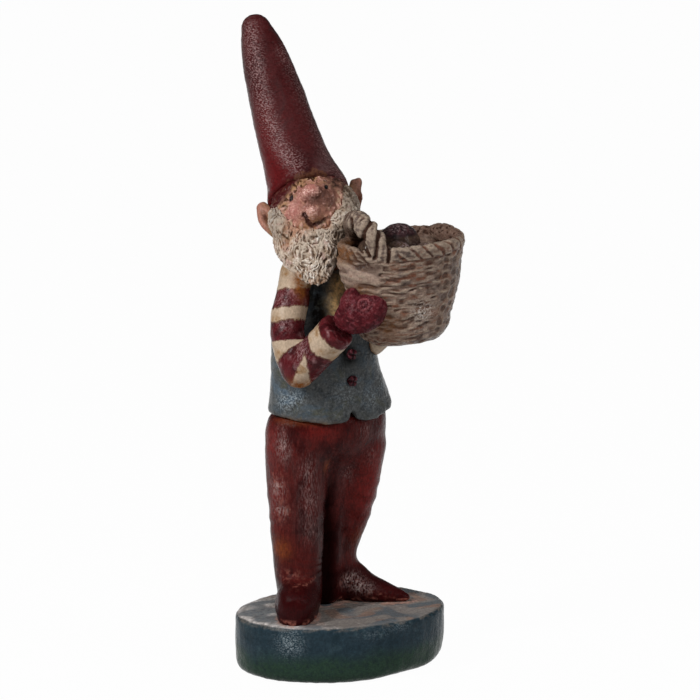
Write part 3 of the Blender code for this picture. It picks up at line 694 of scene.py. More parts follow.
iron_paint = painted(
    "iron", (96, 90, 84),
    patches=[((104, 66, 44), (4, 6), 0.4)], streak=(0.6, 6), peel=0.05,
)
iron_paint.node_tree.nodes["Principled BSDF"].inputs["Metallic"].default_value = 1.0


# Reliefs: each takes points and normals and gives the push in millimetres and the masks

# Sizes of the unevenness that the palm, the thumb and the brush leave
PALM_MARKS = 15
THUMB_MARKS = 6
BRUSH_MARKS = 2.2


def lumps(place, coarse, fine):
    """The slow unevenness of clay shaped by hand, and the finer one that the brush leaves."""
    shaped = noise(place, PALM_MARKS) + 0.5 * noise(place, THUMB_MARKS, 7)
    return coarse * shaped + fine * noise(place, BRUSH_MARKS, 9)


def brushed(place, sizes, height):
    """The strokes of a brush."""
    return height * noise(place, sizes, 3)


# The hat's edge over the face, across and up the head, and how near it the brow's paint starts and is full
HAT_EDGE = [(-19, 2), (-17.8, 4.5), (-11.2, 8.8), (-2.1, 10.3), (6.3, 10.2), (10.8, 6.5), (15, 5)]
BROW_PAINT = (2.4, 0.6)
# Brush strokes, here and on the pieces below: sizes and height
HAT_STROKES = ((2.6, 2.6, 0.9), 0.09)
# Patches on the hat and on the pieces below: place, radii and strength. On the hat they paint a brighter
# red, painted shade and a painted sheen
HAT_GLOW = [((-34, 22, 268), (10, 16, 24), 1), ((-36, 34, 300), (8, 16, 20), 0.6)]
HAT_SHADE = [((-21, 3, 280), (5, 12, 16), 1)]
HAT_SHEEN = [((2, 10, 276), (9, 12, 22), 0.8), ((-13, -4, 282), (6, 9, 15), 0.7)]
# Bands of painted highlight down the hat: their lines across and up as the photograph shows them, width
# and strength
HAT_HIGHLIGHT = [
    ([(-55, 356), (-52.3, 339), (-48.6, 322), (-44.3, 307), (-38.8, 293), (-32, 285), (-27, 280)], 5.4, 0.85),
    ([(-33.4, 345), (-24.2, 327), (-16.6, 309), (-7.4, 287), (1.8, 273)], 4.5, 0.7),
]


def hat_relief(points, normals):
    place = local(points, FIGURE)
    left, forward, up = local(points, HEAD).T
    edge = groove_to(left, up, HAT_EDGE) + 1.6 * noise(place, 2.4, 5)
    push = lumps(place, coarse=0.35, fine=0.06) + brushed(place, *HAT_STROKES)
    return push, {
        "painted_highlight": grooves(across_photo(place), place[:, 2], HAT_HIGHLIGHT) * facing_camera(normals),
        "glow": spots(place, HAT_GLOW),
        "shade": spots(place, HAT_SHADE),
        "painted_sheen": spots(place, HAT_SHEEN),
        "brow": ramp(*BROW_PAINT, edge) * ramp(2, 8, forward),
    }


# Marks on the trousers and boots: painted sheen in grey strokes, specks of painted highlight, worn pale
# chips, brighter red that is partly painted light, rust, and painted glints
SHEEN_STROKES = [
    ((-27, -6, 88), (8, 9, 15), 0.9), ((-24, -5, 62), (9, 9, 15), 0.8), ((-38, 5, 107), (3, 7, 11), 0.9),
    ((7, 5, 84), (6, 8, 9), 0.6), ((20, -8, 113), (7, 7, 5), 0.6), ((12, 12, 36), (6, 8, 8), 0.4),
]
TROUSER_HIGHLIGHT = [
    ((-38, 5, 107), (2.6, 6, 9), 0.9), ((-27, -6.5, 93), (5, 7, 8), 0.6),
    ((-25, -5.7, 74), (6, 7, 11), 0.55), ((-24, -5, 55), (6, 7, 8), 0.4), ((-41, 7, 80), (3, 6, 7), 0.6),
    ((-40, 5, 67), (3, 6, 5), 0.55), ((6.5, 4.6, 87), (5, 7, 7), 0.45), ((12, -10, 114), (5, 7, 5), 0.45),
    ((20, -5, 97), (5, 7, 7), 0.3), ((15.7, 11, 14.5), (6, 6, 4.5), 1.4), ((20, 6, 10), (6, 6, 3.5), 1.3),
]
PALE_CHIPS = [
    ((-41, 7, 84), (4, 7, 8), 0.45), ((-39.5, 4, 68), (4, 6, 8), 0.45), ((-37, 2, 27), (9, 9, 3.5), 0.5),
    ((15, 12, 13), (8, 8, 4), 0.6), ((24, 3, 5), (9, 8, 3), 0.5),
]
# Brighter red: painted light down the outer edge of the right leg and over the left leg, and brighter paint
# just under the waistcoat
BRIGHT_RED = [
    ((-43, 14, 110), (6, 12, 12), 0.8), ((-41, 10, 74), (5, 9, 22), 0.7), ((26, -3, 70), (18, 14, 32), 1),
    ((-20, -9, 116), (16, 8, 6), 0.5),
]
RUST = [
    ((-40, 6, 43), (5, 8, 6), 1), ((22, 8, 40), (6, 8, 7), 0.7), ((-38, 2, 122.5), (12, 12, 2), 0.6),
    ((-24, -8, 122.5), (10, 8, 2), 0.5), ((-12, -5, 93), (2.5, 5, 4), 0.8),
]
GLINTS = [
    ((15.7, 11, 14.5), (3.5, 4.5, 3), 1.6), ((20, 6, 10), (4.5, 4.5, 2.6), 1.2),
    ((-41, 7, 82), (3, 6, 4), 0.35), ((-38.5, 5, 107), (2.4, 6, 8), 0.3), ((-40, 5, 67), (3, 6, 4), 0.35),
]
TROUSER_STROKES = ((0.9, 0.9, 6), 0.1)
# The height and spacing of the folds round the knees and over the right ankle
KNEE_FOLDS = (0.25, 13)
ANKLE_FOLDS = (0.14, 4.6)
# The ridge over the right boot, across and up, the web between the legs and the flare of the right sole
CAP_RIDGE = [(-46, 21), (-38, 22.8), (-30, 23.2), (-22, 25)]
CAP_RIDGE_WIDTH = 0.9
CAP_RIDGE_HEIGHT = 0.45
LEG_FILL = ((4, 9, 60), (6, 6, 40))
LEG_FILL_HEIGHT = 3
SOLE_FLARE = 1.3
BOOT_TOP = (25, 20)


def trouser_relief(points, normals):
    place = local(points, FIGURE)
    x, y, z = place.T
    front = facing_front(normals, 0, 0.5)
    strokes = brushed(place, *TROUSER_STROKES)
    push = lumps(place, coarse=0.5, fine=0.07) + strokes
    bend = 1.4 * noise(place, (14, 14, 9), 21)
    knees = ramp(46, 56, z) * ramp(84, 72, z)
    push += knees * waves(z + 0.5 * x + 2 * bend, *KNEE_FOLDS)
    ankle = ramp(42, 36, z) * ramp(22, 27, z) * ramp(-4, -10, x) * front
    push += ankle * waves(z + 2 * bend + 0.2 * x, *ANKLE_FOLDS)
    cap = cut(groove_to(x, z + 0.6 * bend, CAP_RIDGE), CAP_RIDGE_WIDTH) * front
    push += CAP_RIDGE_HEIGHT * cap + LEG_FILL_HEIGHT * spot(place, *LEG_FILL)
    push += SOLE_FLARE * ramp(5, 1, z) * ramp(0, -10, x)
    # A painted shadow between the legs: nearly black and without shine
    between = ramp(8, -1, x + 6 * ramp(38, 75, z)) * ramp(-11, -6, x) * ramp(100, 70, z) * ramp(-3, 3, y)
    speckle = ramp(-0.1, 0.45, noise(place, (1.1, 1.1, 1.6), 11))
    sole = ramp(5, 2, z) * ramp(-0.1, 0.35, noise(place, (3, 3, 2), 13))
    # Thin wandering lines where the painted glints go
    glint_lines = ramp(0.2, 0.08, np.abs(noise(warped(place, 3, 1.5), (1.5, 1.5, 2.4), 12)))
    return push, {
        "boot": ramp(*BOOT_TOP, z + bend),
        "bright": spots(place, BRIGHT_RED),
        "rust": spots(place, RUST),
        "grey_sheen": 0.5 * spots(place, SHEEN_STROKES) * ramp(-0.03, 0.05, strokes),
        "painted_highlight": spots(place, TROUSER_HIGHLIGHT),
        "glint": spots(place, GLINTS) * glint_lines,
        "pale": np.clip(spots(place, PALE_CHIPS) * speckle + 0.6 * cap * speckle + 0.8 * sole, 0, 1),
        "dark": 0.9 * between,
        "matt": between,
    }


MITTENS = ["right_mitten", "left_mitten"]
RIGHT_HAND_SWIRL = (-19, -57.5, 204)
SWIRL_SPACING = 3.4
SWIRL_HEIGHT = 0.6
RIGHT_HAND_SWELLING = ((-8, -62, 205), (8, 8, 6))
SWELLING_HEIGHT = 1.2
# Specks of painted highlight on the right mitten
MITTEN_HIGHLIGHT = [((-18.7, -58, 204), (7, 7, 6), 0.3), ((-26.5, -48, 206), (5, 5, 5), 0.2)]


def mitten_relief(points, normals):
    place = local(points, FIGURE)
    push = lumps(place, coarse=0.55, fine=0.12) + 0.4 * fractal(warped(place, 6, 2), 3.6, 3, 13)
    reach = np.linalg.norm(place - np.array(RIGHT_HAND_SWIRL), axis=1)
    push += SWIRL_HEIGHT * np.cos(reach * 2 * math.pi / SWIRL_SPACING) * ramp(7, 3, reach)
    push += SWELLING_HEIGHT * spot(place, *RIGHT_HAND_SWELLING)
    touching = nearness(points, other_nodes(MITTENS))
    return push, {"grime": ramp(0.75, 1.0, touching), "painted_highlight": spots(place, MITTEN_HIGHLIGHT)}


# Sleeve stripes: along the upper arm from the inside of the elbow, round the elbow, and along the forearm
RIGHT_STRIPES = {
    "pivot": (-30, -16.6, 177.5),
    "up": (0.1, 0.28, 0.955),
    "out": (10.5, -28, 29),
    "fan": ((0, 0.3),),
    "wedge": ((-21, 173.5), (-23.4, 148), 6.5),
}
LEFT_STRIPES = {
    "pivot": (27, -6, 184),
    "up": (-0.05, 0.4, 0.91),
    "out": (22.5, -14, 23),
    "fan": ((0, 0.2), (0.4, 0.68)),
    "wedge": None,
}
CREAM_ABOVE = ((11.9, 20.3), (31.3, 90))
CREAM_ALONG = ((6.9, 18.2),)
STRIPE_BLUR = 0.6
STRIPE_HEIGHT = 0.12
# What a whole bend of the elbow measures along its outside
ELBOW_LENGTH = 30
# Specks of painted highlight on the red of the right sleeve
SLEEVE_HIGHLIGHT = [
    ((-42.6, -25, 173), (6, 6, 7), 0.5), ((-41, -1, 200), (7, 7, 6), 0.3),
    ((-44, -8, 187), (5, 7, 6), 0.25),
]
SLEEVE_GRIME = [((-40.5, -18, 149.5), (8, 7, 4.5), 1), ((-31, -4, 208), (4, 6, 9), 0.9)]


def band(values, bands, blur):
    """1 inside the given bands, 0 outside, with edges this soft."""
    inside = [
        ramp(low - blur, low + blur, values) * ramp(high + blur, high - blur, values) for low, high in bands
    ]
    return np.max(inside, axis=0)


def stripes(place, pivot, up, out, fan, wedge):
    """The cream stripes of a sleeve: across the upper arm, fanned round the elbow, across the forearm.

    fan holds the stripes round the elbow, as shares of the bend, and wedge the top and foot of one that
    widens downwards, across and up as the photograph shows it, and half its width at the foot.
    """
    up = np.array(up, float) / np.linalg.norm(up)
    out = np.array(out, float) / np.linalg.norm(out)
    ragged = 0.8 * noise(place, 4, 31) + 0.7 * noise(place, (1, 1, 3), 32)
    offset = place - np.array(pivot)
    above = offset @ up
    along = offset @ out
    upper = above > np.maximum(along, 0)
    lower = ~upper & (along > 0)
    side = np.cross(np.cross(up, out), up)
    side /= np.linalg.norm(side)
    turn = np.arctan2(-above, -offset @ side)
    bend = math.pi - math.acos(np.clip(up @ out, -1, 1))
    elbow = band(turn / bend + ragged / ELBOW_LENGTH, fan, STRIPE_BLUR / ELBOW_LENGTH)
    stripe = np.where(upper, band(above + ragged, CREAM_ABOVE, STRIPE_BLUR), elbow)
    stripe = np.where(lower, band(along + ragged, CREAM_ALONG, STRIPE_BLUR), stripe)
    if wedge:
        (top_across, top), (foot_across, foot), half_width = wedge
        down = (top - place[:, 2]) / (top - foot)
        off = np.abs(across_photo(place) - top_across - (foot_across - top_across) * down)
        edge = ramp(STRIPE_BLUR, -STRIPE_BLUR, off + ragged - half_width * down)
        stripe = np.maximum(stripe, edge * ramp(0, 0.1, down))
    return stripe


def sleeve_relief(node, setting):
    def relief(points, normals):
        place = local(points, FIGURE)
        stripe = stripes(place, **setting)
        touching = ramp(0.45, 1, nearness(points, other_nodes([node])))
        return lumps(place, coarse=0.35, fine=0.08) + STRIPE_HEIGHT * stripe, {
            "stripe": stripe,
            "painted_highlight": spots(place, SLEEVE_HIGHLIGHT) * (1 - stripe),
            "stain": 0.6 * ramp(0, 0.5, noise(place, 6, 17)) * stripe,
            "hem": ramp(0.02, 0.4, stripe) * ramp(1, 0.6, stripe),
            "grime": np.clip(spots(place, SLEEVE_GRIME) + 0.8 * touching * stripe, 0, 1),
            "rubbed": 0.5 * ramp(0.35, 0.8, noise(place, (2.4, 2.4, 6), 15)) * (1 - stripe),
        }

    return relief


BLUE_WASH = [
    ((-37, 10, 146), (9, 14, 11), 1), ((-33, 2, 137), (9, 9, 8), 0.9), ((16, -12, 136), (7, 8, 9), 0.5),
]
# Painted shadow, nearly black: in the gap between the right arm, the beard and the basket, and round the
# buttons
COAT_SHADE = [
    ((-20, -6, 197), (5.5, 9, 15), 1), ((-19, -7, 184), (5, 9, 8), 1), ((-4, -11, 168), (5, 8, 8), 0.8),
    ((1, -12, 160), (6, 8, 4), 0.8),
]
COAT_GRIME = [((-9, -8, 196), (4, 9, 8), 1), ((-3, -6, 206), (6, 9, 6), 1)]
COAT_RUST = [((-36, 6, 123), (14, 14, 2.5), 0.7), ((-20, -9, 120), (10, 9, 2.5), 0.6)]
# Specks of painted highlight on the waistcoat
COAT_HIGHLIGHT = [
    ((-36, 5, 135.5), (5, 6, 5), 0.8), ((-31, -1, 138), (5, 6, 4), 0.5),
    ((16.5, -10.6, 134), (6, 6, 7), 0.35), ((27, -3, 143), (4, 6, 8), 0.35),
    ((-4, -12, 139), (12, 8, 8), 0.2),
]
COAT_STROKES = ((2.4, 2.4, 1.3), 0.1)
# The line down the front where the waistcoat closes, across and up
OPENING = [(-1, 132), (-3.5, 160), (-6, 200)]
OPENING_WIDTH = 1.3
OPENING_DEPTH = 0.4


def waistcoat_relief(points, normals):
    place = local(points, FIGURE)
    opening = cut(groove_to(place[:, 0], place[:, 2], OPENING), OPENING_WIDTH)
    push = lumps(place, coarse=0.45, fine=0.08) + brushed(place, *COAT_STROKES)
    push -= OPENING_DEPTH * facing_front(normals, 0.2, 0.7) * opening
    shade = spots(place, COAT_SHADE)
    return push, {
        "blue": spots(place, BLUE_WASH) * ramp(-0.3, 0.5, noise(place, (6, 6, 3), 25)),
        "painted_highlight": spots(place, COAT_HIGHLIGHT),
        "dark": shade,
        "matt": shade,
        "grime": spots(place, COAT_GRIME),
        "rust": spots(place, COAT_RUST),
    }


def shirt_relief(points, normals):
    return lumps(local(points, FIGURE), coarse=0.3, fine=0.1), {}


BEARD_STAIN = [
    ((-33, -11, 213), (8, 8, 5), 1), ((-19, -16, 209), (8, 8, 5), 0.8), ((-40, -2, 236), (6, 8, 8), 0.4),
]
BEARD_SHADE = [
    ((-10, -15, 228), (3.5, 9, 16), 1), ((-13, -16, 216), (4, 8, 8), 0.8),
    ((0, -13, 256), (9, 8, 11), 0.65), ((-2, -5, 266), (9, 10, 6), 0.8), ((-41.5, 8, 252), (5, 7, 6), 0.5),
    ((-43, 4, 242), (5, 7, 6), 0.3),
]
BEARD_SKIN = [((-31.5, -2.5, 242.5), (6, 7, 4.5), 0.9), ((-35, 2, 246), (4, 6, 5), 0.7)]
# Specks of painted highlight on the beard
BEARD_HIGHLIGHT = [
    ((-35, -8, 228), (6, 6, 6), 0.5), ((-32.5, -12.5, 221), (6, 6, 6), 0.6),
    ((-28.5, -16.5, 214), (5, 6, 6), 0.7),
]
# Hair lines stand side by side round the head's middle, this far apart at the beard's distance from it
HAIR_SPACING = 2.8
HAIR_CENTRE = (-12.8, 11.6)
HAIR_GIRTH = 28
HAIR_HEIGHT = 0.8
HAIR_HOLE_DEPTH = 0.7
# How far the hair sinks where it meets the face and the ears
SUNK_AT_FACE = 2
SUNK_AT_EARS = 3


def beard_relief(points, normals):
    """Hair drawn into the clay: lines that wander down in slow curls, finer strands and pressed holes."""
    place = local(points, FIGURE)
    curled = warped(warped(place, (7, 7, 7), 5.5), (2.6, 2.6, 3), 1.7, 53)
    offset = curled[:, :2] - np.array(HAIR_CENTRE)
    around = HAIR_GIRTH * np.arctan2(offset @ PHOTO_ACROSS, offset @ PHOTO_TOWARD[:2])
    hair = np.sin(around * 2 * math.pi / HAIR_SPACING + 2 * noise(place, 5, 45))
    hair *= ramp(-0.4, 0.4, noise(place, 4, 51))
    ruffled = warped(place, 2.6, 1.4)
    ridges = np.maximum(crests(ruffled, (2, 2, 3.2), 49), -1)
    locks = noise(curled, (5, 5, 9), 41)
    strands = noise(ruffled, (0.9, 0.9, 2), 47)
    height = 0.45 * locks + 0.46 * hair + 0.4 * strands + 0.34 * ridges
    meeting = nearness(points, ["head"])
    holes = ramp(0.3, 0.12, pits(curled, (5, 5, 6), 61))
    push = HAIR_HEIGHT * height - HAIR_HOLE_DEPTH * holes
    push -= SUNK_AT_FACE * ramp(0.35, 1, meeting) * (1 - noise(place, (2.6, 2.6, 4.5), 57))
    push -= SUNK_AT_EARS * ramp(0.2, 0.9, nearness(points, ["right_ear", "left_ear"]))
    skin = ramp(0.25, 0.8, meeting + 0.4 * noise(place, 3, 59))
    shade = spots(place, BEARD_SHADE)
    # The paint darkens low hair and the pressed holes as painted shade, and lightens the crests as painted
    # highlight
    return push, {
        "sunk": 0.85 * ramp(-0.1, -0.8, height),
        "crest_highlight": ramp(0.3, 0.85, height),
        "painted_highlight": spots(place, BEARD_HIGHLIGHT) * ramp(-0.3, 0.4, height),
        "skin": np.clip(0.9 * skin + spots(place, BEARD_SKIN), 0, 1),
        "hole_shade": 0.8 * holes,
        "stain": spots(place, BEARD_STAIN) * ramp(-0.7, 0, noise(place, 4, 19)),
        "shade": shade,
        "matt": shade,
    }


# The face, across and up the head: eyes with their half sizes and slant, and the line under the lip
EYES = [((-13.1, 0.3), (1.5, 2.4), 0.35), ((9.3, 0.2), (1.4, 1.9), 0.2)]
EYE_DEPTH = 1.2
MOUTH_LINE = [(-8.6, -12.6), (-7.9, -16), (-5.1, -18.6), (0.4, -18.4), (5.4, -16.6)]
MOUTH_WIDTH = 1.2
MOUTH_DEPTH = 2
# Above this line, across and up the head, the hat's red runs down over the brow
CAP_LINE = [
    (-26, -6), (-19.6, -0.1), (-16.3, 2.2), (-12.2, 5.2), (-7.5, 8.3), (-2.1, 9.8), (6.3, 10.5), (15, 6),
]
CAP_HEIGHT = 1.6
# Soft forms and patches: centre and radii, for some the strength
CHEEK = ((-15.5, -7.5), (6.5, 6.5))
CHEEK_HEIGHT = 1.1
FAR_CHEEK = ((8, -8), (5, 7))
FAR_CHEEK_HEIGHT = 0.7
LIP = ((-4.2, -13.2), (4, 3.8))
LIP_HEIGHT = 1.2
CHIN = ((-8, -19), (9, 4))
NOSE = ((-1.3, -1.2), (7, 6))
# Painted shade at the temple beside the hat
TEMPLE_SHADE = ((16.5, 3), (6.5, 6))
BROW_TUFTS = [((-16.5, 3), (4.2, 5.5)), ((4.5, 7.5), (4, 4)), ((-10, 8), (4, 2.6))]
TUFT_HEIGHT = 0.7
TUFT_HOLE_DEPTH = 0.6
WHISKER_HEIGHT = 0.6
BEARD_SEAM_HEIGHT = 1.2
# Specks of painted highlight on the nose, the lip and the cheek
FACE_HIGHLIGHT = [
    ((-5.2, -0.9), (2.6, 2.4), 0.9), ((-1.7, -3.8), (2.6, 2), 0.8), ((-4.5, -12.5), (3, 2.6), 0.8),
    ((-15, -7), (6, 6), 0.25),
]
FACE_SHADE = [((8, -8), (5, 7), 0.8), ((-1, -7.6), (7, 2.6), 0.8), ((6, -5), (5, 7), 0.6)]


def face_relief(points, normals):
    left, forward, up = local(points, HEAD).T
    place = local(points, FIGURE)
    front = ramp(0, 6, forward)
    nose = mound(left, up, *NOSE) * ramp(15, 20, forward)
    lip = mound(left, up, *LIP)
    cheek = mound(left, up, *CHEEK)
    ruffled = warped(place, 3, 1)
    push = lumps(place, coarse=0.3, fine=0.12) + 0.4 * fractal(warped(place, 4, 1), 3.4, 3, 23)
    push += 0.5 * np.clip(nose + lip, 0, 1) * fractal(ruffled, 2.8, 2, 37)
    push += front * (CHEEK_HEIGHT * cheek + FAR_CHEEK_HEIGHT * mound(left, up, *FAR_CHEEK) + LIP_HEIGHT * lip)
    eye = sum(mound(left - slant * (up - centre[1]), up, centre, radii) for centre, radii, slant in EYES)
    cap_up = np.interp(left, *np.array(CAP_LINE).T) + 0.9 * noise(place, 2.6, 39)
    cap = front * ramp(-0.4, 0.6, up - cap_up)
    tufts = ramp(7, 3, groove_to(left, up, CAP_LINE)) * (1 - cap) * ramp(13, 8, left)
    for tuft in BROW_TUFTS:
        tufts = np.maximum(tufts, mound(left, up, *tuft))
    # Pressed holes in the brow, painted darker as shade
    holes = tufts * ramp(0.1, 0.5, noise(ruffled, (1.3, 1.3, 1.8), 67))
    tufts *= 1 - ramp(0.2, 0.4, eye)
    ragged = groove_to(left, up, MOUTH_LINE) + 0.6 * noise(place, 1.8, 36)
    mouth = cut(ragged, MOUTH_WIDTH) * (0.55 + 0.45 * ramp(3, -3, left))
    meeting = nearness(points, ["beard", "hair"])
    strands = ramp(-0.1, 0.3, noise(ruffled, (1.3, 1.3, 2.6), 33))
    whisker = front * ramp(0.2, 0.9, meeting) * strands * ramp(8, 2, up + 0.5 * left)
    brow = TUFT_HEIGHT * tufts * (0.5 + noise(place, 3.4, 29)) - TUFT_HOLE_DEPTH * holes
    push += front * (brow - EYE_DEPTH * eye - MOUTH_DEPTH * mouth + CAP_HEIGHT * cap)
    push += WHISKER_HEIGHT * whisker + BEARD_SEAM_HEIGHT * front * ramp(0.35, 0.95, meeting)
    return push, {
        "blush": front * np.clip(cheek + nose + 0.8 * lip, 0, 1),
        "shade": front * mounds(left, up, FACE_SHADE),
        "chin": front * mound(left, up, *CHIN),
        "painted_highlight": front * mounds(left, up, FACE_HIGHLIGHT),
        "whisker": whisker,
        "brow": front * np.clip(1.2 * tufts, 0, 1) * ramp(-0.3, 0.3, noise(place, 2.4, 35)),
        "hole_shade": front * holes,
        "temple_shade": 0.9 * front * mound(left, up, *TEMPLE_SHADE),
        "cap": cap,
        "mouth": 0.9 * front * ramp(0.25, 0.7, mouth),
        "eye": front * ramp(0.35, 0.6, eye),
    }


# Ears: lobe and tip on the head, to its left, forward and up
EAR_LOBE = (26, -2, -12)
EAR_TIPS = {"right": (29, -3, 10), "left": (30.5, -4, 9.5)}
EAR_FLARE = (0.95, -0.3, 0)
EAR_CUPS = {"right": (0.9, 1.2), "left": (1.6, -1.5)}
CUP_RADII = (2.1, 5.5)
CUP_DEPTH = 2
# The left ear is thinned at its edge and its lobe, filled at its tip, and painted darker as shade
EAR_THINNING = {"right": 0, "left": 1}
THIN_EDGE = 2.2
THIN_LOBE = 1.5
FULL_TIP = 1.8
EAR_DARKNESS = 0.55


def ear_relief(side):
    mirror = np.array((-1 if side == "right" else 1, 1, 1))
    lobe = np.array(EAR_LOBE) * mirror
    tip = np.array(EAR_TIPS[side]) * mirror
    axis = (tip - lobe) / np.linalg.norm(tip - lobe)
    flat = np.array(EAR_FLARE) * mirror
    flat = flat - (flat @ axis) * axis
    flat /= np.linalg.norm(flat)
    outward = np.cross(axis, flat)
    outward *= np.sign(outward[1])
    thinning = EAR_THINNING[side]

    def relief(points, normals):
        offset = local(points, HEAD) - (lobe + tip) / 2
        across = offset @ flat
        along = offset @ axis
        facing = ramp(0.1, 0.6, turned(normals, HEAD) @ outward)
        cup = facing * mound(across, along, EAR_CUPS[side], CUP_RADII)
        push = lumps(local(points, FIGURE), coarse=0.25, fine=0.1) - CUP_DEPTH * cup
        push -= thinning * (THIN_EDGE * ramp(1.5, 5, across) + THIN_LOBE * ramp(0, -8, along))
        push += thinning * FULL_TIP * ramp(5, 11, along) * ramp(-1, 3, across)
        shade = np.full(len(points), EAR_DARKNESS * thinning)
        # The cup is painted darker as shade
        return push, {"cup": ramp(0.35, 0.9, cup), "rim": ramp(0.4, 0.05, cup), "shade": shade}

    return relief


# The basket, in its own frame. It is woven in rows of dashes in front, pitted at its left end and
# smoothed over with a few long strands at its right end.
RIM_FOOT = 55.2
WALL_RADII = (35, 26)
BASKET_GIRTH = 31
DASH_SIZES = (4.8, 4.8, 1.2)
DASH_HEIGHT = 0.55
PITTED_END = 6
PIT_SPACING = (6.2, 6.2, 5)
PIT_DEPTH = 0.5
SMOOTH_END = -27.5
SMOOTH_HEIGHT = 0.9
SWELL_SIZES = (11, 11, 1.9)
SWELL_HEIGHT = 0.8
BASKET_BULGE = ((-38, 2, 48), (6, 14, 10))
BULGE_HEIGHT = 3
FOOT_TAPER = 1.8
# The rim: the spacing, slant and depth of its twist, and the line in which it meets the wall
RIM_TWIST = 7.2
RIM_SLANT = 0.7
TWIST_DEPTH = 0.7
RIM_HEIGHT = 0.4
JOINT_WIDTH = 0.7
JOINT_DEPTH = 0.2
# Where the left lug starts and the right handle ends, across, and the pressed holes on the inside
LUG_START = 18
HANDLE_ENDS = -19
HANDLE_HEIGHT = 1.1
HOLE_SPACING = (3, 3, 2.4)
HOLE_DEPTH = 0.6
# Grooves between the right handle's strands and loops, across as the photograph shows them and up
STRAND_WIDTH = 1.4
STRAND_DEPTH = 2.2
STRAND_GROOVES = [
    [(-17.9, 79), (-22.2, 74.4), (-22.8, 68.2), (-19.7, 60)],
    [(-13.6, 75), (-14.5, 66.4), (-16.6, 58.5)],
    [(-29.5, 80), (-28.6, 72), (-24, 63)],
    [(-8, 70), (-8, 56)],
]
LOOP_WIDTH = 1.0
LOOP_DEPTH = 1.0
LOOP_GROOVES = [
    [(-33.5, 61.4), (-31.7, 55.8), (-26.5, 53.3), (-21.1, 55.2)],
    [(-30, 62), (-27.8, 56.8), (-22.8, 54.1)],
    [(-26.5, 61.4), (-22.2, 55.8)],
]
BASKET_GRIME = [
    ((-38, 4, 62), (9, 12, 7), 1), ((-30, 14, 60), (12, 10, 8), 0.9), ((-37, -8, 37), (9, 12, 5), 0.7),
    ((-24, -18, 14), (9, 9, 9), 0.6),
]
# Specks of painted highlight low on the basket's front
BASKET_HIGHLIGHT = [((-2, -23.5, 22), (7, 7, 6), 0.7)]


def handle_grooves(place, lines, width):
    """Grooves that wind up the front of the right handle and run out on the wall below it."""
    across = across_photo(place) + 0.5 * noise(place, 4, 78)
    return grooves(across, place[:, 2], [(line, width, 1) for line in lines]) * ramp(6, 1, place[:, 1])


